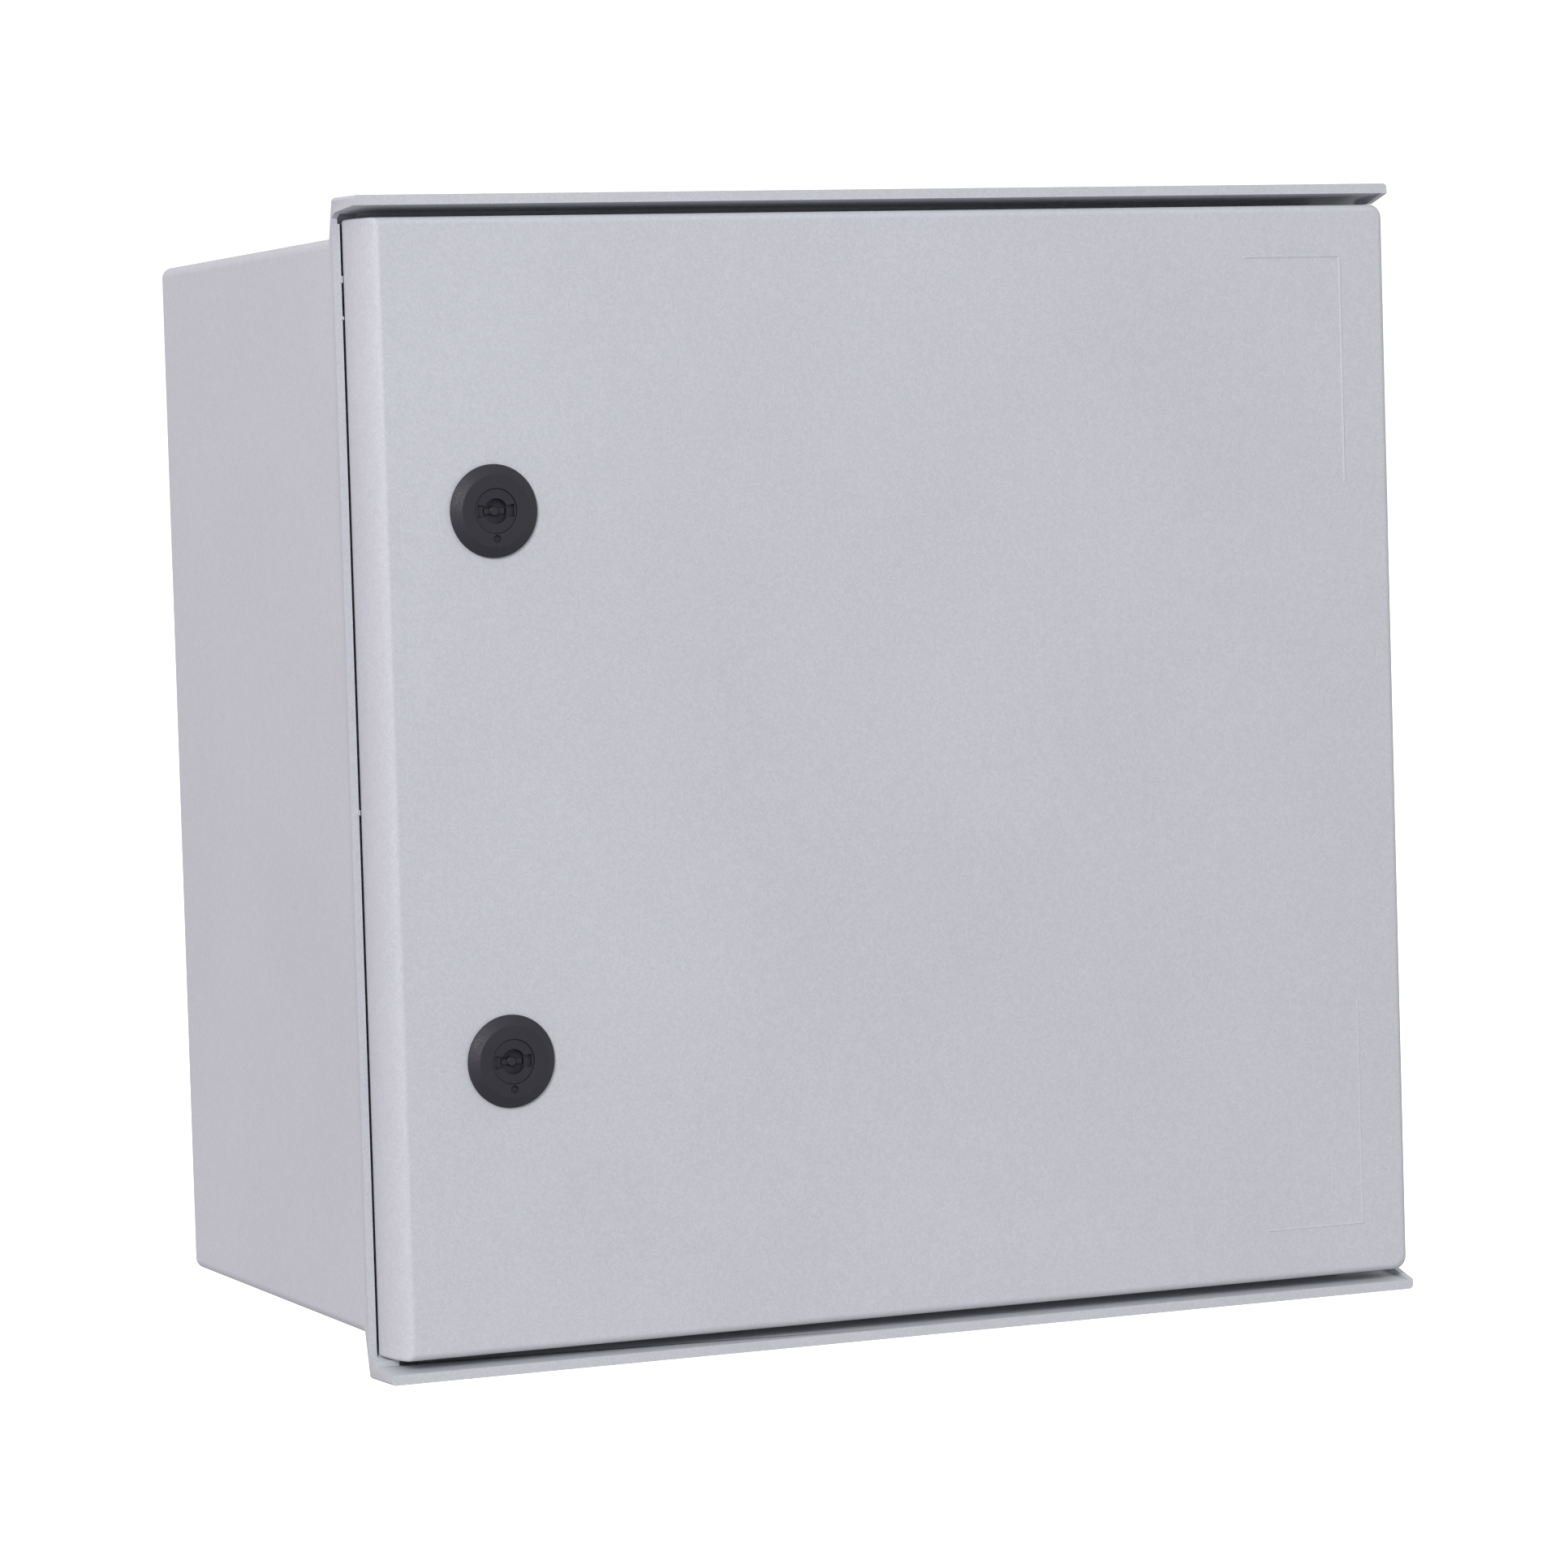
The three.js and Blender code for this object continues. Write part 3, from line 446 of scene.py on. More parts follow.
MATERIALS = {
    "polyester_body": polyester("polyester_body", (0.582, 0.601, 0.638)),
    "polyester_door": polyester("polyester_door", (0.585, 0.605, 0.645)),
    "foam_gasket": foamed("foam_gasket", (0.035, 0.035, 0.038)),
    "galvanised_plate": galvanised("galvanised_plate", (0.60, 0.61, 0.62)),
    "passivated_rail": steel("passivated_rail", (0.66, 0.66, 0.63), 0.3, (0.05, 1, 1)),
    "device_grey": moulded("device_grey", (0.60, 0.60, 0.585), 0.45, 1400),
    "device_inlay": moulded("device_inlay", (0.78, 0.78, 0.76), 0.3, 2200),
    "device_window": moulded("device_window", (0.03, 0.16, 0.06), 0.25, 2200),
    "toggle_red": moulded("toggle_red", (0.42, 0.014, 0.012), 0.32),
    "toggle_blue": moulded("toggle_blue", (0.014, 0.05, 0.2), 0.32),
    "toggle_black": moulded("toggle_black", (0.018, 0.018, 0.02), 0.34),
    "button_yellow": moulded("button_yellow", (0.64, 0.36, 0.02), 0.32),
    "terminal_brass": plated("terminal_brass", (0.66, 0.50, 0.24), 0.3, (0.06, 1, 1), (0.93, 0.86, 0.78)),
    "carrier_plastic": moulded("carrier_plastic", (0.56, 0.56, 0.55), 0.5, 1300),
    "plug_plastic": moulded("plug_plastic", (0.50, 0.51, 0.52), 0.5, 1300),
    "zinc_screw": steel("zinc_screw", (0.64, 0.65, 0.66), 0.27),
    "hinge_steel": steel("hinge_steel", (0.58, 0.59, 0.60), 0.34, (1, 1, 0.06)),
    "hinge_pin_steel": steel("hinge_pin_steel", (0.60, 0.60, 0.61), 0.22, (1, 1, 0.05)),
    "lock_polyamide": moulded("lock_polyamide", (0.020, 0.0185, 0.029), 0.56, 1100, 0.6),
    "lock_insert": moulded("lock_insert", (0.018, 0.0165, 0.026), 0.52, 1200, 0.6),
    "lock_rubber": foamed("lock_rubber", (0.02, 0.02, 0.02)),
    "lock_nut_zinc": steel("lock_nut_zinc", (0.52, 0.53, 0.54), 0.42),
    "lock_cam_steel": steel("lock_cam_steel", (0.60, 0.61, 0.62), 0.32, (1, 1, 0.08)),
}


def dress(piece, node, material=None, stands_in=True):
    """Gives a piece a node's body, and the material of the node's slot unless another is named."""
    piece.data.materials.clear()
    piece.data.materials.append(MATERIALS[material or SLOT_OF[node]])
    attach(piece, BODY_OF[node])
    if stands_in:
        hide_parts(node)
    return piece


# Body

WALL = 4
BACK_HALF_WIDTH, BACK_HALF_HEIGHT, FLARE = 256, 246, 5
BACK_EDGE, BOX_CORNER = 2, 5
FLANGE_BACK, FLANGE_FRONT = 242, 263
FLANGE_HALF_WIDTH, FLANGE_HALF_HEIGHT, FLANGE_CORNER = 267, 268.3, 2
DECK_BACK, DECK_FRONT = 246, 250
OPENING_HALF, OPENING_RADIUS, RIB = 234, 12, 4
LIP_DEPTH, KNEE_DEPTH = 290, 267
LIP_ROOT, LIP_KNEE, LIP_TOP = 252, 261.5, 263.7
SEAT_DEPTH, RIM_DEPTH = 262.5, 276
RIM_LEFT, RIM_RIGHT, OUTSIDE = 263.1, 264.2, 280
BOSS_FOOT, BOSS_RADIUS, BOSS_TOP = 13, 9, 17.7


def shell_ring(depth, inset, radius):
    """The drafted box behind the flange, drawn in by an inset."""
    flare = FLARE * depth / FLANGE_BACK
    return ring(depth, BACK_HALF_WIDTH + flare - inset, BACK_HALF_HEIGHT + flare - inset, radius)


def lip_half(depth):
    """How far a lip's sloping inner face is from the middle. The slope eases off in front of a knee."""
    if depth <= KNEE_DEPTH:
        return LIP_ROOT + (LIP_KNEE - LIP_ROOT) * (depth - DECK_FRONT) / (KNEE_DEPTH - DECK_FRONT)
    return LIP_KNEE + (LIP_TOP - LIP_KNEE) * (depth - KNEE_DEPTH) / (LIP_DEPTH - KNEE_DEPTH)


def outer_shell():
    """The body's outside: a drafted box with a rounded back edge, which flares into the flange and lips."""
    rings = []
    for step in range(6):
        turn = math.radians(18 * step)
        depth, inset = BACK_EDGE * (1 - math.cos(turn)), BACK_EDGE * (1 - math.sin(turn))
        rings.append(shell_ring(depth, inset, BOX_CORNER))
    rings.append(shell_ring(FLANGE_BACK, 0, BOX_CORNER))
    for depth in (FLANGE_FRONT, LIP_DEPTH):
        rings.append(ring(depth, FLANGE_HALF_WIDTH, FLANGE_HALF_HEIGHT, FLANGE_CORNER))
    return loft("enclosure_shell", rings)


def door_room():
    """The room in the flange for the door: a channel round its edge, with the rib left standing, an open
    front between the lips, and an open hinge side for the door to swing through."""
    rings = [ring(DECK_FRONT, 259.8, LIP_ROOT, 1)]
    for depth in (SEAT_DEPTH, KNEE_DEPTH, RIM_DEPTH):
        rings.append(ring(depth, (RIM_LEFT, RIM_RIGHT), lip_half(depth), 1))
    mouth = (LIP_DEPTH + 1, LIP_TOP + 0.1)
    rim = RIM_DEPTH - 0.2
    left_front = [(SEAT_DEPTH, lip_half(SEAT_DEPTH)), (KNEE_DEPTH, LIP_KNEE), mouth]
    right_front = [(rim, lip_half(RIM_DEPTH)), mouth]
    lip_end = [(rim, 259.2), mouth]
    hinge_side = [(260, lip_half(260)), (SEAT_DEPTH + 0.03, 259), (RIM_DEPTH, 259)]
    room = fuse(
        loft("channel", rings),
        prism_x("left_front", mirrored(left_front), -OUTSIDE, 0),
        prism_x("right_front", mirrored(right_front), -1, RIM_RIGHT),
        prism_x("lip_end", mirrored(lip_end), 264, OUTSIDE),
        prism_x("hinge_side", mirrored(hinge_side), 1, OUTSIDE),
    )
    half = OPENING_HALF + RIB
    return carve(room, loft("rib", [ring(depth, half, half, OPENING_RADIUS + RIB) for depth in (240, 275)]))


def enclosure():
    """The moulded body, with bosses for the mounting plate and holes for the wall and hinge screws."""
    body = outer_shell()
    hollow = loft("hollow", [shell_ring(WALL, WALL, 2), ring(DECK_BACK, 257, 247, 2)])
    opening = loft("opening", [ring(depth, OPENING_HALF, OPENING_HALF, OPENING_RADIUS)
                               for depth in (DECK_BACK - 1, LIP_DEPTH)])
    carve(body, hollow, opening, door_room())
    # At the lock side the channel is relieved up to the upper lip, and a web fills it at the lower lip.
    carve(body, block("relief", -264.2, -254, 257, 266, 256.5, 261.2))
    fuse(body, block("web", -266.4, -256, 262, 272, -262.5, -259.2))
    boss = [(0, WALL - 1), (BOSS_FOOT, WALL - 1), (BOSS_FOOT, WALL)]
    boss += arc(BOSS_RADIUS + 3, WALL + 3, 3, 270, 180, 5) + [(BOSS_RADIUS, BOSS_TOP), (0, BOSS_TOP)]
    sink = [(0, -1), (4.3, -1), (4.3, 3.4), (4.9, WALL + 1), (0, WALL + 1)]
    for index in range(1, 5):
        place = centre(f"plate_screw_{index}")
        fuse(body, revolve("boss", boss, place))
        carve(body, rod("bore", 3.3, 7, 19, place))
        carve(body, revolve("wall_hole", sink, centre(f"wall_plug_{index}"), segments=48))
    for end, _ in ENDS:
        carve(body, rod("hinge_hole", 2.3, DECK_BACK - 1, DECK_FRONT + 1, centre(f"{end}_hinge_screw")))
    dress(soften(body, 0.7), "enclosure_body")


def mould_nib(name, z, length):
    """A speck of flash left on the lock-side rim, across the slit beside the door."""
    outline = [(-263.9, 261.2), (-262.9, 260.6), (-262.2, 261.4), (-262.3, 262.6), (-264, 262.9)]
    nib = prism_z(name, outline, z - length / 2, z + length / 2)
    dress(soften(nib, 0.2, 2), "enclosure_body", stands_in=False)


def wall_plug(index):
    """A plug in a wall-fixing hole, with a rounded flange and a shallow dish inside the cabinet."""
    node = f"wall_plug_{index}"
    left, right, back, front, _, _ = extent(node)
    flange, round_edge, dish = (right - left) / 2, 1.2, 1.1
    stem, seat = 4, WALL + 0.3
    profile = [(0, back), (stem - 0.6, back), (stem, back + 0.6), (stem, seat), (flange, seat)]
    profile += arc(flange - round_edge, front - round_edge, round_edge, 0, 90, 5)
    profile += [(3.4, front), (2.9, front - dish), (0, front - dish)]
    plug = revolve(f"wall_plug_cap_{index}", profile, centre(node), segments=64)
    dress(smooth(plug), node)


# Screws

def cross(place, reach, half, back, front):
    """The tool that cuts a cross recess, from one depth to another."""
    x, z = place
    upright = block("upright", x - half, x + half, back, front, z - reach, z + reach)
    level = block("level", x - reach, x + reach, back, front, z - half, z + half)
    return fuse(upright, level)


def screw(node, shank, height, backwards=False):
    """A pan-head screw with a cross recess, standing for a node, with its head at the front or the back."""
    left, right, back, front, _, _ = extent(node)
    radius = (right - left) / 2
    face, way = (back, -1) if backwards else (front, 1)
    seat = face - way * height
    tip = front if backwards else back
    edge, side = 0.15, 0.4
    profile = [(0, tip), (shank * 0.8, tip), (shank, tip + way * 0.5), (shank, seat)]
    profile += [(radius - edge, seat), (radius, seat + way * edge), (radius, seat + way * height * side)]
    for step in range(1, 6):
        turn = math.radians(15 * step)
        dome = side + (1 - side) * math.sin(turn)
        profile.append((radius * math.cos(turn) ** 0.6, seat + way * height * dome))
    profile.append((0, face))
    piece = revolve(f"{node}_turned", profile, centre(node), segments=64)
    near, far = sorted((face + way * 0.5, face - way * height * 0.55))
    carve(piece, cross(centre(node), radius * 0.55, radius * 0.13, near, far))
    dress(smooth(piece, 28), node)


# Mounting plate and rails

PLATE_HALF_WIDTH, PLATE_HALF_HEIGHT = 220, 215
PLATE_BACK, PLATE_FRONT = 18, 20.5


def mounting_plate():
    rings = [ring(depth, PLATE_HALF_WIDTH, PLATE_HALF_HEIGHT, 6) for depth in (PLATE_BACK, PLATE_FRONT)]
    plate = loft("plate_sheet", rings)
    holes = []
    for index in range(1, 5):
        for name, radius in (("plate", 3.3), ("rail", 2.8)):
            place = centre(f"{name}_screw_{index}")
            holes.append(rod("hole", radius, PLATE_BACK - 1, PLATE_FRONT + 1.5, place))
    carve(plate, gathered("holes", holes))
    dress(soften(plate, 0.35), "mounting_plate")


def rail(name, screw_indexes):
    """A 35 mm top-hat rail with rolled bends and oblong slots."""
    node = f"{name}_din_rail"
    left, right, back, front, bottom, top = extent(node)
    middle = (bottom + top) / 2
    sheet, inner, outer = 1, 12.5, 17.5
    half = [
        (back, inner + sheet), (front - sheet, inner + sheet), (front - sheet, outer),
        (front, outer), (front, inner), (back + sheet, inner),
    ]
    radii = [1.3, 0.3, 0.2, 0.2, 1.3, 0.3]
    outline = [(depth, middle + z) for depth, z in filleted(mirrored(half), radii + radii[::-1], 5)]
    piece = prism_x(f"{name}_rail_profile", outline, left, right)
    pitch, slot_length, slot_half = 25, 15, 3.1
    slots = []
    for i in range(-7, 8):
        x = i * pitch
        slot = rectangle(x - slot_length / 2, x + slot_length / 2, middle - slot_half, middle + slot_half)
        slots.append(prism_y("slot", filleted(slot, slot_half - 0.01, 8), back - 1, back + 2))
    for index in screw_indexes:
        slots.append(rod("hole", 2.8, back - 1, back + 2, centre(f"rail_screw_{index}")))
    carve(piece, gathered("slots", slots))
    dress(soften(piece, 0.15, 2, 40), node)


# Switchgear

POLE = 17.8
CLIP_BACK, CLIP_HALF = 28.6, 17.8
SHOULDER, HOUSING_HALF = 68, 42.5
NOSE, NOSE_HALF = 88, 22.5
TERMINAL = 32
TERMINAL_FLOOR = 61


def terminal_screw(x, z):
    """A cross-recessed clamp screw down in its well."""
    radius, top, edge = 3, 64.5, 0.5
    profile = [(0, TERMINAL_FLOOR + 0.2), (radius, TERMINAL_FLOOR + 0.2), (radius, top - edge)]
    profile += arc(radius - edge, top - edge, edge, 0, 90, 3) + [(0, top)]
    return carve(revolve("screw", profile, (x, z), segments=32), cross((x, z), 2, 0.4, 63, 65))


def seam_outline(z):
    """The outline of a groove between two poles that follows the housing's steps, as (depth, z) points."""
    deep, above = 0.4, 0.5
    half = [
        (SHOULDER + 1, NOSE_HALF + above), (SHOULDER + 1, HOUSING_HALF + 1.5),
        (SHOULDER - deep, HOUSING_HALF + 1.5), (SHOULDER - deep, NOSE_HALF - deep),
        (NOSE - deep, NOSE_HALF - deep),
    ]
    outline = mirrored(half) + [(NOSE + 1, -NOSE_HALF - above), (NOSE + 1, NOSE_HALF + above)]
    return [(depth, z + up) for depth, up in outline]


def pole_cuts(pole_x, z):
    """The screw well and the cable entry at each end of a pole."""
    cuts = []
    for side in (-1, 1):
        cuts.append(rod("well", 3.4, TERMINAL_FLOOR, 70, (pole_x, z + side * TERMINAL), segments=32))
        entry = filleted(rectangle(pole_x - 4.6, pole_x + 4.6, 44, 54), 1.2)
        low, high = sorted((z + side * 33, z + side * 44))
        cuts.append(prism_z("entry", entry, low, high))
    return cuts


def plaque(name, x, z, half, low, high, corner, back, front):
    """A thin rounded plate on a device's nose, or the tool that cuts its recess, between two depths."""
    return prism_y(name, filleted(rectangle(x - half, x + half, z + low, z + high), corner), back, front)


def device(node, poles, slot_half, well=None):
    """A modular device: a stepped housing with screw wells, cable entries, a label holder and a window."""
    left, right, back, _, bottom, top = extent(node)
    x, z = (left + right) / 2, (bottom + top) / 2
    half = [
        (CLIP_BACK, CLIP_HALF), (back, CLIP_HALF), (back, HOUSING_HALF),
        (SHOULDER, HOUSING_HALF), (SHOULDER, NOSE_HALF), (NOSE, NOSE_HALF),
    ]
    radii = [0.3, 0.3, 1.5, 1.5, 1.2, 1.6]
    outline = [(depth, z + up) for depth, up in filleted(mirrored(half), radii + radii[::-1], 4)]
    housing = prism_x(f"{node}_housing", outline, left, right)
    cuts = [block("toggle_slot", x - slot_half, x + slot_half, 70.5, NOSE + 2, z - 11, z + 11)]
    screws = []
    for pole in range(poles):
        pole_x = x + (pole - (poles - 1) / 2) * POLE
        cuts += pole_cuts(pole_x, z)
        screws += [terminal_screw(pole_x, z + side * TERMINAL) for side in (-1, 1)]
        if pole:
            seam_x = pole_x - POLE / 2
            cuts.append(prism_x("seam", seam_outline(z), seam_x - 0.2, seam_x + 0.2))
    label_half, window_half = (right - left) / 2 - 1.8, 2.2
    cuts.append(plaque("label", x, z, label_half, 13.5, 20, 0.6, NOSE - 0.6, NOSE + 1))
    cuts.append(plaque("window", x, z, window_half, -17.5, -14, 0.5, NOSE - 0.8, NOSE + 1))
    if well:
        well_x, well_z = centre(well)
        reach = 3.8
        cuts.append(block("button_well", well_x - reach, well_x + reach, 82, NOSE + 2,
                          well_z - reach, well_z + reach))
    carve(housing, *cuts)
    dress(soften(housing, 0.3, 2), node)
    dress(smooth(gathered(f"{node}_terminals", screws)), node, "zinc_screw", stands_in=False)
    card = plaque(f"{node}_card", x, z, label_half - 0.2, 13.7, 19.8, 0.5, NOSE - 0.7, NOSE - 0.25)
    dress(soften(card, 0.08, 2), node, "device_inlay", stands_in=False)
    pane = plaque(f"{node}_pane", x, z, window_half - 0.1, -17.4, -14.1, 0.45, NOSE - 0.9, NOSE - 0.3)
    dress(soften(pane, 0.08, 2), node, "device_window", stands_in=False)


def toggle(node, width):
    """A barrel with a tapered lever that has finger grooves, tipped down to its off angle."""
    left, right, _, _, _, _ = extent(node)
    pivot = next(j for j in frame["joints"] if j["child"] == BODY_OF[node])["pos_m"]
    depth, z, x = -pivot[1] / MM, pivot[2] / MM, (left + right) / 2
    radius, edge = 8.6, 0.4
    ends = [(0, x - width / 2), (radius - edge, x - width / 2), (radius, x - width / 2 + edge)]
    profile = ends + [(distance, 2 * x - along) for distance, along in reversed(ends)]
    barrel = revolve(f"{node}_handle", profile, (depth, z), "X")
    outline = [(6, 2.3), (6, -2.3)] + [(along, across) for across, along in arc(0, 15.2, 1.8, 180, 0, 8)]
    outline = [(depth + along, z + across) for along, across in outline]
    lever = prism_x("lever", outline, x - width / 2, x + width / 2)
    for along in (10.5, 12.5, 14.5):
        for side in (-1, 1):
            place = (depth + along, z + side * 2.15)
            carve(lever, rod("groove", 0.45, x - width, x + width, place, "X", 16))
    off_angle = math.radians(25)
    turn = (
        Matrix.Translation(at(0, depth, z))
        @ Matrix.Rotation(off_angle, 4, "X")
        @ Matrix.Translation(Vector(at(0, depth, z)) * -1)
    )
    lever.data.transform(turn)
    dress(soften(fuse(barrel, lever), 0.25, 2), node)


def test_button():
    """A square button with a rounded rim and a shallow dished face."""
    node = "residual_current_test_button"
    left, right, back, front, _, _ = extent(node)
    x, z = centre(node)
    half = (right - left) / 2

    def layer(depth, inset):
        reach = half - inset
        outline = rectangle(x - reach, x + reach, z - reach, z + reach)
        return [at(u, depth, v) for u, v in filleted(outline, 0.9)]

    layers = [layer(back, 0), layer(front - 0.6, 0), layer(front - 0.2, 0.12), layer(front, 0.5)]
    button = loft("test_button_cap", layers)
    bowl = arc(0, front + 7.3, 7.65, 278, 292, 6)
    dish = revolve("dish", [(0, front - 0.35)] + bowl + [(0, front + 1)], (x, z))
    dress(smooth(carve(button, dish)), node)


# Terminal bars

WAYS, WAY_PITCH = 9, 13
FIXING_REACH = 67.5


def along_bar(x):
    """The places of a bar's ways along x."""
    return [x + (i - (WAYS - 1) / 2) * WAY_PITCH for i in range(WAYS)]


def terminal_bar(name):
    """A brass bar with slotted clamp screws at the front and wire holes from above."""
    node = f"{name}_bar"
    left, right, back, front, bottom, top = extent(node)
    x, z = centre(node)
    bar = block(f"{node}_brass", left, right, back, front, bottom, top)
    screws = []
    for way_x in along_bar(x):
        carve(bar, rod("screw_hole", 2.3, front - 4, front + 1, (way_x, z), segments=32))
        carve(bar, rod("wire_hole", 2.1, bottom - 1, top + 1, (way_x, back + 4), "Z", 32))
        face = front - 0.6
        profile = [(0, front - 4.2), (2.1, front - 4.2), (2.1, face - 0.3), (1.8, face), (0, face)]
        stud = revolve("stud", profile, (way_x, z), segments=32)
        slit = block("slit", way_x - 3, way_x + 3, front - 1.5, front, z - 0.35, z + 0.35)
        screws.append(carve(stud, slit))
    dress(soften(bar, 0.4, 2), node)
    dress(smooth(gathered(f"{node}_screws", screws)), node, "zinc_screw", stands_in=False)


def bar_carrier(name):
    """The plastic carrier behind a terminal bar, with a pocket at each way and a screw at each end."""
    node = f"{name}_bar_carrier"
    left, right, back, front, bottom, top = extent(node)
    x, z = centre(node)
    carrier = block(f"{name}_carrier_block", left, right, back, front, bottom, top)
    deep = 2.5
    pockets = []
    for way_x in along_bar(x):
        outline = filleted(rectangle(way_x - 5, way_x + 5, back + 3, front - 3), 1)
        pockets.append(prism_z("pocket", outline, top - deep, top + 1))
        pockets.append(prism_z("pocket", outline, bottom - 1, bottom + deep))
    fixings = []
    for fixing_x in (x - FIXING_REACH, x + FIXING_REACH):
        pockets.append(rod("sink", 3.6, front - 4, front + 1, (fixing_x, z)))
        head = [(0, front - 5), (3.3, front - 5), (3.3, front - 2)] + arc(2.6, front - 2, 0.7, 0, 90, 4)
        fixing = revolve("fixing", head + [(0, front - 1.3)], (fixing_x, z), segments=32)
        fixings.append(carve(fixing, cross((fixing_x, z), 2, 0.4, front - 2.6, front)))
    carve(carrier, gathered("pockets", pockets))
    dress(soften(carrier, 0.6), node)
    dress(smooth(gathered(f"{name}_carrier_fixings", fixings)), node, "zinc_screw", stands_in=False)


# Door

DOOR_LEFT, DOOR_RIGHT, DOOR_HALF = -262, 264.7, 258.3
DOOR_BACK, DOOR_FRONT = 262, 290
DOOR_WALL = 4
FITTING_FACE = DOOR_FRONT - DOOR_WALL - 0.3
LOCK_EDGE, LOCK_ROLL, OTHER_EDGE = 7.5, 20, 3.5
LOCK_CORNER, HINGE_CORNER = 1.5, 6


def edge_inset(depth, across, along):
    """How far a front edge rolled to a quarter ellipse has drawn in at a depth."""
    share = min(1.0, max(0.0, 1 - (DOOR_FRONT - depth) / along))
    return across * (1 - math.sqrt(1 - share * share))


def door_ring(depth, left_inset, inset, hinge_corner=HINGE_CORNER):
    """The door's outline at a depth, drawn in at the lock side and at the other three sides."""
    height = DOOR_HALF - inset
    outline = rectangle(DOOR_LEFT + left_inset, DOOR_RIGHT - inset, -height, height)
    radii = [hinge_corner, LOCK_CORNER, LOCK_CORNER, hinge_corner]
    return [at(x, depth, z) for x, z in filleted(outline, radii, 8)]


def outer_door_ring(depth):
    lock_side = edge_inset(depth, LOCK_EDGE, LOCK_ROLL)
    return door_ring(depth, lock_side, edge_inset(depth, OTHER_EDGE, OTHER_EDGE))


def inner_door_ring(depth, extra=0):
    return door_ring(depth, DOOR_WALL + extra, DOOR_WALL, HINGE_CORNER - DOOR_WALL)


def door():
    """The moulded door: a pan with rolled edges, lock holes, hinge notches and room to swing past the rim."""
    depths = {DOOR_BACK}
    for step in range(13):
        sine = math.sin(math.radians(7.5 * step))
        depths.add(DOOR_FRONT - LOCK_ROLL * (1 - sine))
        if step % 2:
            depths.add(DOOR_FRONT - OTHER_EDGE * (1 - sine))
    panel = loft("door_shell", [outer_door_ring(depth) for depth in sorted(depths)])
    hollow = loft("hollow", [
        inner_door_ring(DOOR_BACK - 1),
        inner_door_ring(DOOR_FRONT - LOCK_EDGE),
        inner_door_ring(DOOR_FRONT - DOOR_WALL, LOCK_EDGE - DOOR_WALL),
    ])
    carve(panel, hollow, block("swing_room", 240, 284, DOOR_BACK - 1, 272, -OUTSIDE, OUTSIDE))
    for end, _ in ENDS:
        place = centre(f"{end}_lock_housing")
        carve(panel, rod("lock_hole", 11.3, 270, DOOR_FRONT + 1, place, segments=64))
        _, hinge_z = centre(f"{end}_hinge_pin")
        carve(panel, block("notch", 259.7, 285, DOOR_BACK, 279.5, hinge_z - 18, hinge_z + 18))
    dress(soften(panel, 0.5), "door_panel")


def witness_mark(end, side, height):
    """A shallow raised corner line at a hinge-side corner of the door, with sloping flanks."""
    x, z = 240.2, side * 234.3
    across, down, width = 53, 109, 1.3

    def line(depth, outer, inner):
        right, level = x - outer, z - side * outer
        turn_x, turn_z = x - inner, z - side * inner
        far, foot = x - across + outer, z - side * (down - outer)
        outline = [
            (right, level), (far, level), (far, turn_z),
            (turn_x, turn_z), (turn_x, foot), (right, foot),
        ]
        return [at(u, depth, v) for u, v in outline]

    layers = [line(depth, 0, width) for depth in (DOOR_FRONT - 0.5, DOOR_FRONT)]
    layers.append(line(DOOR_FRONT + height, 0.25, 0.5))
    dress(smooth(loft(f"{end}_witness_mark", layers), 10), "door_panel", stands_in=False)


def gasket():
    """A foam bead with a crowned crest, in front of the body's rib."""
    _, right, crest, root, _, _ = extent("door_gasket")
    inner = 230
    middle, half = (right + inner) / 2, (right - inner) / 2
    crown = 4
    profile = [(-half, root), (half, root), (half, crest + crown)]
    for step in range(1, 15):
        turn = math.radians(12 * step)
        profile.append((half * math.cos(turn), crest + crown - crown * math.sin(turn)))
    profile.append((-half, crest + crown))
    rings = [ring(depth, middle + across, middle + across, 14 + across) for across, depth in profile]
    dress(smooth(loft("gasket_bead", rings, closed=True), 50), "door_gasket")


# Hinges

HINGE_X, HINGE_DEPTH = 254, 278
HINGE_PLACE = (HINGE_X, HINGE_DEPTH)
KNUCKLE, PIN_BORE, GAUGE = 4.5, 2.3, 3.5
BRACKET_REACH, LEAF_REACH = 15, 36


def hinge_bracket(end):
    """The fixed half: a foot screwed to the body's deck, an arm, a web and the middle knuckle."""
    _, z = centre(f"{end}_hinge_pin")
    seat = DECK_FRONT + 0.3
    low, high = z - BRACKET_REACH, z + BRACKET_REACH
    front, web_back = HINGE_DEPTH + GAUGE / 2, HINGE_DEPTH - GAUGE / 2
    left = 243
    bracket = fuse(
        prism_y("base", filleted(rectangle(left, 258, low, z + 30), 1.5), seat, seat + 2.5),
        block("arm", left, left + GAUGE, seat, front, low, high),
        block("web", left, HINGE_X - 2, web_back, front, low, high),
        rod("knuckle", KNUCKLE, low, high, HINGE_PLACE, "Z"),
    )
    bracket.name = f"{end}_hinge_angle"
    carve(bracket, rod("bore", PIN_BORE, low - 1, high + 1, HINGE_PLACE, "Z"))
    carve(bracket, rod("screw_hole", 2.3, seat - 1, seat + 4, centre(f"{end}_hinge_screw")))
    dress(soften(bracket, 0.35), f"{end}_hinge_bracket")


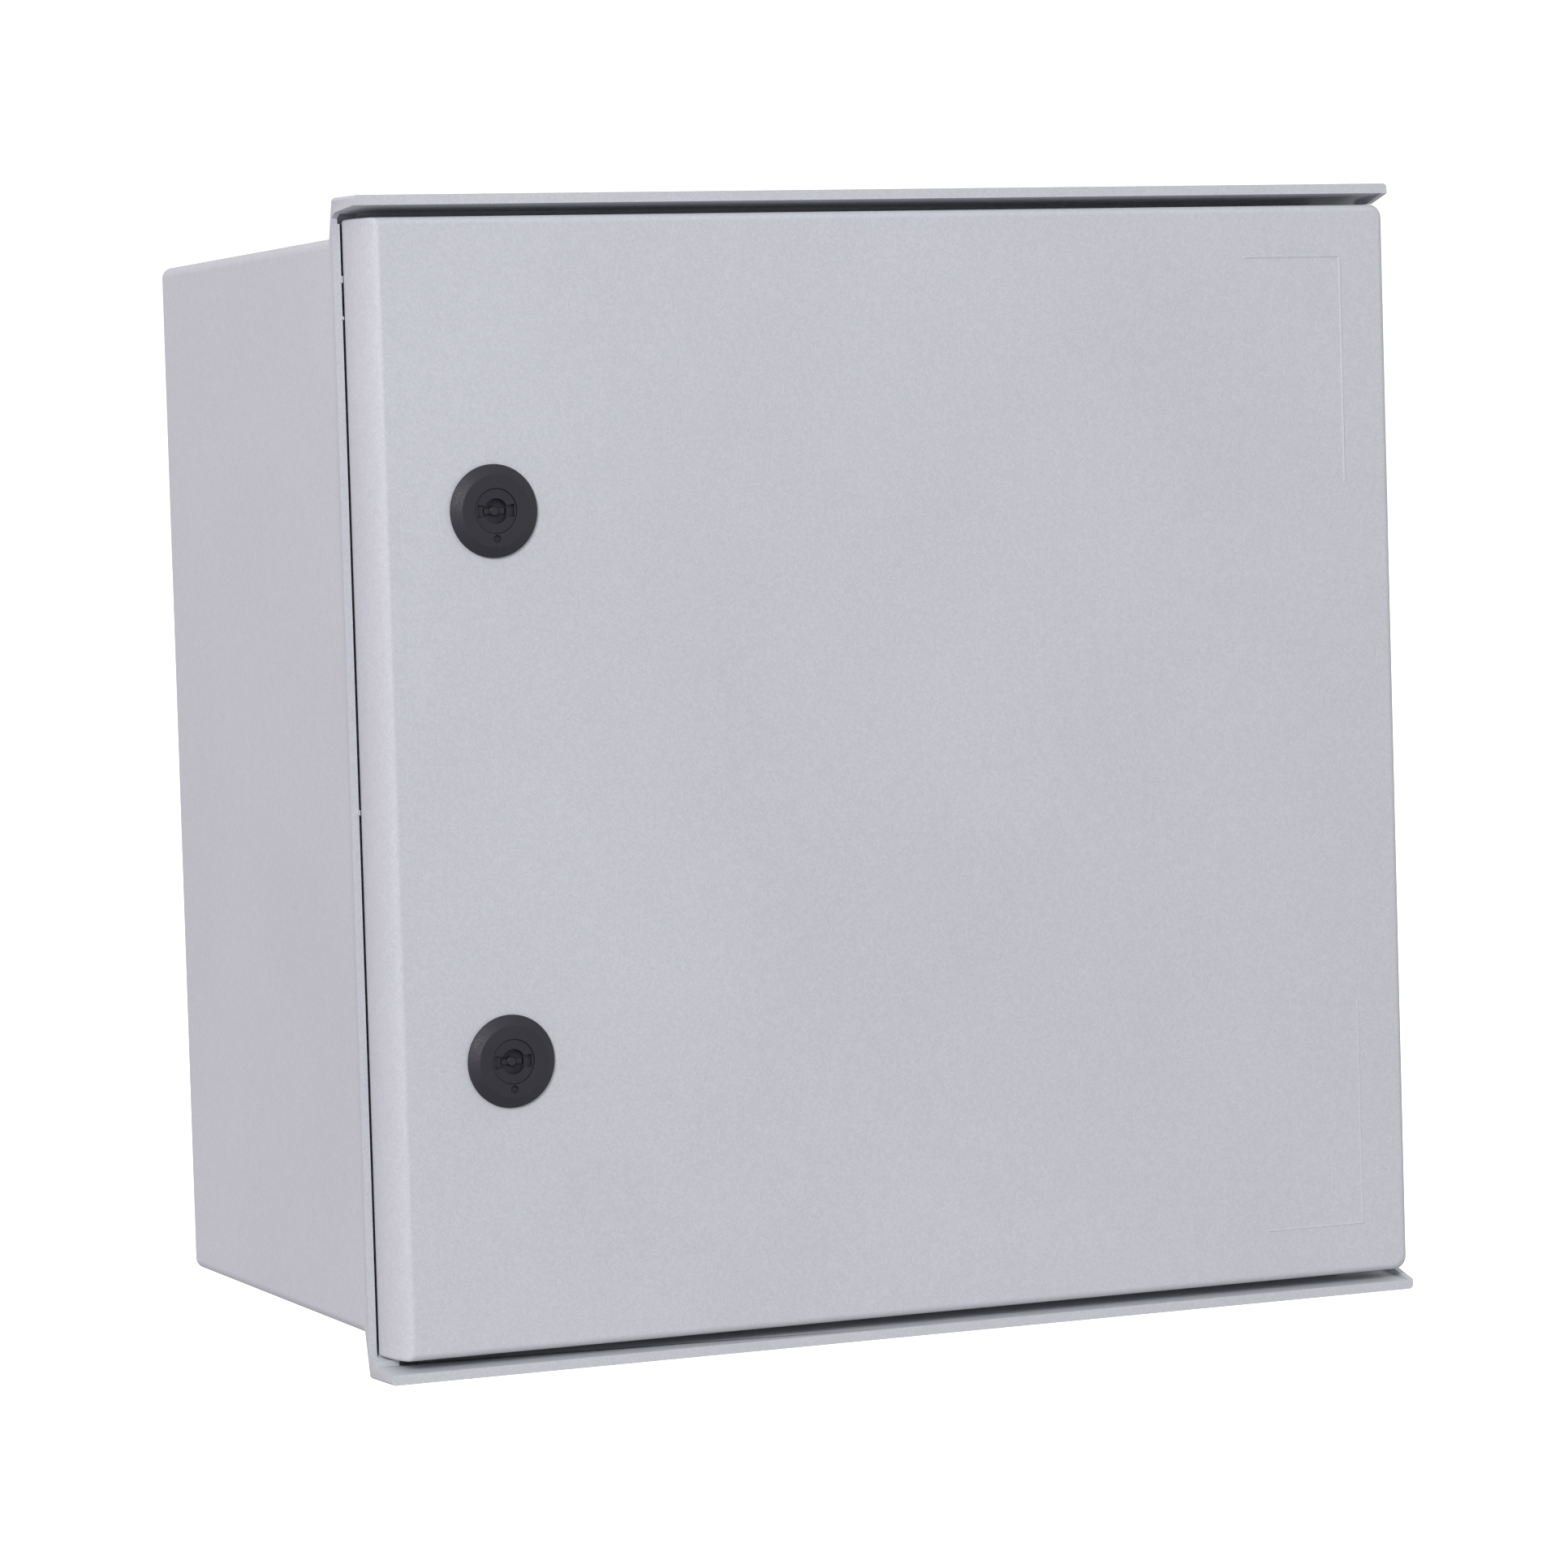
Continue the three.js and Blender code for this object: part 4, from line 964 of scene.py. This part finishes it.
def hinge_leaf(end):
    """The moving half: a plate behind the door with an arm and a knuckle above and below the bracket's."""
    _, z = centre(f"{end}_hinge_pin")
    low, high = z - LEAF_REACH, z + LEAF_REACH
    blade = filleted(rectangle(HINGE_X - 6.5, DOOR_RIGHT - 4.6, low, high), 1.2)
    leaf = prism_y("leaf", blade, FITTING_FACE - 2.5, FITTING_FACE)
    gap = BRACKET_REACH + 0.5
    for bottom, top in ((low, z - gap), (z + gap, high)):
        fuse(leaf, block("arm", HINGE_X - 3, HINGE_X + 3, HINGE_DEPTH, FITTING_FACE - 1, bottom, top))
        fuse(leaf, rod("knuckle", KNUCKLE, bottom, top, HINGE_PLACE, "Z"))
    leaf.name = f"{end}_hinge_wing"
    carve(leaf, rod("bore", PIN_BORE, low - 1, high + 1, HINGE_PLACE, "Z"))
    dress(soften(leaf, 0.35), f"{end}_hinge_leaf")


def hinge_pin(end):
    node = f"{end}_hinge_pin"
    _, _, _, _, bottom, top = extent(node)
    radius, chamfer = 2, 0.5
    ends = [(0, bottom), (radius - chamfer, bottom), (radius, bottom + chamfer)]
    profile = ends + [(distance, bottom + top - along) for distance, along in reversed(ends)]
    dress(smooth(revolve(f"{end}_hinge_axle", profile, HINGE_PLACE, "Z", 48)), node)


# Locks

CAP_FRONT, CAP_EDGE, CAP_BACK = 294, 291.4, DOOR_FRONT + 0.3
CAP_RADIUS = 21.25
NECK_RADIUS, NECK_BACK = 11, 262
CORE_FRONT, CORE_RADIUS = 293.4, 10.2
SEAL_BACK = FITTING_FACE - 1.4
NUT_FRONT, NUT_THICKNESS = FITTING_FACE - 1.7, 6
CAM_BACK, CAM_FRONT = 241.5, 244.5


def lock_housing(end):
    """The escutcheon: a bevelled cap, a neck through the door and an index dimple under the insert."""
    place = x, z = centre(f"{end}_lock_housing")
    bore, step = 8, CORE_RADIUS + 0.1
    profile = [(bore, NECK_BACK), (bore, 287.7), (step, 287.7), (step, CAP_FRONT - 0.15), (10.45, CAP_FRONT)]
    profile += arc(16.4, CAP_FRONT - 0.6, 0.6, 90, 52, 4)
    profile += arc(CAP_RADIUS - 0.5, CAP_EDGE - 0.4, 0.5, 52, 0, 4)
    profile += [(CAP_RADIUS, CAP_BACK + 0.15), (CAP_RADIUS - 0.15, CAP_BACK), (NECK_RADIUS, CAP_BACK)]
    profile += [(NECK_RADIUS, NECK_BACK + 0.4), (NECK_RADIUS - 0.4, NECK_BACK)]
    housing = revolve(f"{end}_lock_cap", profile, place, segments=128)
    dimple = [
        (0, CAP_FRONT - 1.2), (1.3, CAP_FRONT - 1.2), (1.8, CAP_FRONT - 0.3),
        (1.9, CAP_FRONT + 1), (0, CAP_FRONT + 1),
    ]
    carve(housing, revolve("dimple", dimple, (x, z - 12.6), segments=48))
    dress(smooth(housing, 25), f"{end}_lock_housing")


def keyway(x, z):
    """The outline of the double-bit keyway: two wings that widen outwards."""
    quarter = [(9, 3.2), (4, 2.2)]
    outline = []
    for side_x, side_z in ((1, 1), (-1, 1), (-1, -1), (1, -1)):
        steps = quarter if side_x == side_z else quarter[::-1]
        outline += [(x + side_x * across, z + side_z * up) for across, up in steps]
    return filleted(outline, 0.6)


def lock_rotor(end):
    """The insert: a core with a round well, a keyway and a post with two bits, and a square at its back."""
    place = x, z = centre(f"{end}_lock_housing")
    shaft, back, head = 7.7, 258, 288
    profile = [(0, back), (shaft - 0.3, back), (shaft, back + 0.3), (shaft, head), (CORE_RADIUS, head)]
    profile += [(CORE_RADIUS, CORE_FRONT - 0.2), (CORE_RADIUS - 0.15, CORE_FRONT), (0, CORE_FRONT)]
    rotor = revolve(f"{end}_lock_core", profile, place)
    square = filleted(rectangle(x - 4, x + 4, z - 4, z + 4), 0.5)
    fuse(rotor, prism_y("square", square, CAM_BACK - 0.3, back + 1))
    carve(rotor, rod("well", 5.8, 289.8, CAP_FRONT + 1, place))
    carve(rotor, prism_y("wings", keyway(x, z), 291.7, CAP_FRONT + 1))
    post = revolve("post", [(0, 283), (2.3, 283), (2.3, 291.5), (1.8, 292), (0, 292)], place, segments=48)
    bits = block("bits", x - 5, x + 5, 283, 290.9, z - 1.2, z + 1.2)
    fuse(rotor, fuse(post, bits))
    carve(rotor, rod("thread", 2.3, 240, 251.2, place))
    dress(soften(rotor, 0.2, 2), f"{end}_lock_rotor")


def lock_seal(end):
    inner, round_edge = NECK_RADIUS + 0.3, 0.7
    outer = 15.3
    profile = [(inner, SEAL_BACK), (15.6, SEAL_BACK)]
    profile += arc(outer, FITTING_FACE - round_edge, round_edge, -90, 90, 8) + [(inner, FITTING_FACE)]
    place = centre(f"{end}_lock_housing")
    dress(smooth(revolve(f"{end}_lock_ring_seal", profile, place)), f"{end}_lock_seal")


def lock_nut(end):
    """A hexagon nut on the neck, with its back corners chamfered."""
    place = x, z = centre(f"{end}_lock_housing")
    corner_radius, back = 17.3, NUT_FRONT - NUT_THICKNESS
    corners = [(x + corner_radius * math.cos(turn), z + corner_radius * math.sin(turn))
               for turn in (math.radians(30 + 60 * i) for i in range(6))]
    nut = prism_y(f"{end}_lock_hexagon", corners, back, NUT_FRONT)
    inner, outer = NECK_RADIUS + 0.3, 18
    blank = [
        (inner, back - 1), (15.2, back - 1), (15.2, back), (outer, NUT_FRONT - 4.6),
        (outer, NUT_FRONT + 1), (inner, NUT_FRONT + 1),
    ]
    boolean(nut, revolve("blank", blank, place), "INTERSECT")
    dress(soften(nut, 0.2, 2), f"{end}_lock_nut")


def lock_cam(end):
    """A flat tongue on the rotor's square, which turns behind the body's deck."""
    place = x, z = centre(f"{end}_lock_housing")
    half, reach, hole = 8, 44, 4.3
    outline = filleted([(x - half, z), (x + half, z), (x + half, z + reach), (x - half, z + reach)],
                       [0, 0, 4, 4], 6)
    cam = fuse(rod(f"{end}_lock_tongue", 10, CAM_BACK, CAM_FRONT, place, segments=64),
               prism_y("bar", outline, CAM_BACK, CAM_FRONT))
    carve(cam, prism_y("hole", rectangle(x - hole, x + hole, z - hole, z + hole), 240, 246))
    dress(soften(cam, 0.4), f"{end}_lock_cam")


# Every piece

enclosure()
mould_nib("upper_nib", 231.5, 3.2)
mould_nib("upper_speck", 214, 1.6)
mould_nib("middle_nib", -10, 2.4)
mounting_plate()
for index in range(1, 5):
    wall_plug(index)
    screw(f"plate_screw_{index}", 3, 3.6)
    screw(f"rail_screw_{index}", 2.5, 2.8)
rail("upper", (1, 2))
rail("lower", (3, 4))
device("main_switch_body", 4, 19.3)
device("residual_current_body", 4, 7.3, "residual_current_test_button")
toggle("main_switch_toggle", 38)
toggle("residual_current_toggle", 14)
test_button()
for number in range(1, 7):
    device(f"breaker_body_{number}", 1, 3.3)
    toggle(f"breaker_toggle_{number}", 6)
for name in ("neutral", "earth"):
    terminal_bar(name)
    bar_carrier(name)
door()
gasket()
for end, side in ENDS:
    witness_mark(end, side, 0.25 + 0.07 * side)
    hinge_bracket(end)
    hinge_leaf(end)
    hinge_pin(end)
    screw(f"{end}_hinge_screw", 2, 2.6)
    lock_housing(end)
    lock_rotor(end)
    lock_seal(end)
    lock_nut(end)
    lock_cam(end)
    screw(f"{end}_cam_screw", 2, 3, backwards=True)


# Stage, light and camera

FLOOR_LEVEL, FLOOR_HALF = -1.0, 60
PAPER, PAPER_GLOW = (0.93, 0.93, 0.93), 0.8
BELOW, ABOVE, BACKDROP = 0.5, 0.73, 1.15
LEFT_TINT = (1.044, 0.93, 1.0)
KEY_PLACE, KEY_TARGET = (-3.6, -4.0, 2.3), (0, -0.2, 0)
KEY_SIZE, KEY_POWER = 1.6, 177
LENS, SENSOR = 145.94, 36
EYE = (-1.3026, -2.9546, 0.1529)
YAW, PITCH, ROLL = 24.95, 3.09, -1.69


def stage():
    """A floor that reads as white as the backdrop, and leaves the light on the object to the room."""
    bm = bmesh.new()
    bmesh.ops.create_grid(bm, x_segments=1, y_segments=1, size=FLOOR_HALF)
    floor = from_bmesh("floor", bm)
    floor.location = (0, 0, FLOOR_LEVEL)
    floor.visible_diffuse = False
    floor.visible_glossy = False
    paper = Shader("floor_paper", PAPER, 0.9)
    paper.bsdf.inputs["Emission Color"].default_value = (1, 1, 1, 1)
    paper.bsdf.inputs["Emission Strength"].default_value = PAPER_GLOW
    floor.data.materials.append(paper.material)


def room_light():
    """Soft light from all round, stronger from above and faintly pink from the left, and a white backdrop."""
    world = bpy.data.worlds.new("studio")
    world.use_nodes = True
    nodes, links = world.node_tree.nodes, world.node_tree.links
    background = nodes["Background"]
    direction = nodes.new("ShaderNodeSeparateXYZ")
    links.new(nodes.new("ShaderNodeTexCoord").outputs["Generated"], direction.inputs["Vector"])

    upward = nodes.new("ShaderNodeMapRange")
    upward.inputs["From Min"].default_value = -0.6
    upward.inputs["From Max"].default_value = 0.6
    upward.inputs["To Min"].default_value = BELOW
    upward.inputs["To Max"].default_value = ABOVE
    links.new(direction.outputs["Z"], upward.inputs["Value"])
    strength = nodes.new("ShaderNodeMix")
    strength.inputs["B"].default_value = BACKDROP
    links.new(nodes.new("ShaderNodeLightPath").outputs["Is Camera Ray"], strength.inputs["Factor"])
    links.new(upward.outputs["Result"], strength.inputs["A"])
    links.new(strength.outputs["Result"], background.inputs["Strength"])

    leftward = nodes.new("ShaderNodeMapRange")
    leftward.inputs["From Min"].default_value = -1
    leftward.inputs["From Max"].default_value = 0
    links.new(direction.outputs["X"], leftward.inputs["Value"])
    tint = nodes.new("ShaderNodeMix")
    tint.data_type = "RGBA"
    tint.inputs[MIX_A].default_value = (*LEFT_TINT, 1)
    tint.inputs[MIX_B].default_value = (1, 1, 1, 1)
    links.new(leftward.outputs["Result"], tint.inputs[MIX_FACTOR])
    links.new(tint.outputs[MIX_RESULT], background.inputs["Color"])
    bpy.context.scene.world = world
    bpy.context.scene.view_settings.view_transform = "Standard"


def key_light():
    """A square lamp in front of the object, to the left and above."""
    data = bpy.data.lights.new("key", "AREA")
    data.shape = "RECTANGLE"
    data.size = data.size_y = KEY_SIZE
    data.energy = KEY_POWER
    light = bpy.data.objects.new("key", data)
    light.location = KEY_PLACE
    aim = Vector(KEY_TARGET) - Vector(KEY_PLACE)
    light.rotation_euler = aim.to_track_quat("-Z", "Y").to_euler()
    bpy.context.scene.collection.objects.link(light)


def camera():
    """A long lens at the object's height, turned so that the left side and the front both show."""
    data = bpy.data.cameras.new("camera")
    data.lens = LENS
    data.sensor_width = SENSOR
    eye = bpy.data.objects.new("camera", data)
    yaw, pitch, roll = (math.radians(angle) for angle in (YAW, PITCH, ROLL))
    turn = (
        Matrix.Rotation(roll, 3, "Y")
        @ Matrix.Rotation(pitch, 3, "X")
        @ Matrix.Rotation(yaw, 3, "Z")
    )
    right, forward, up = turn
    axes = Matrix((right, up, -forward)).transposed()
    eye.matrix_world = Matrix.Translation(EYE) @ axes.to_4x4()
    bpy.context.scene.collection.objects.link(eye)
    bpy.context.scene.camera = eye


stage()
room_light()
key_light()
camera()
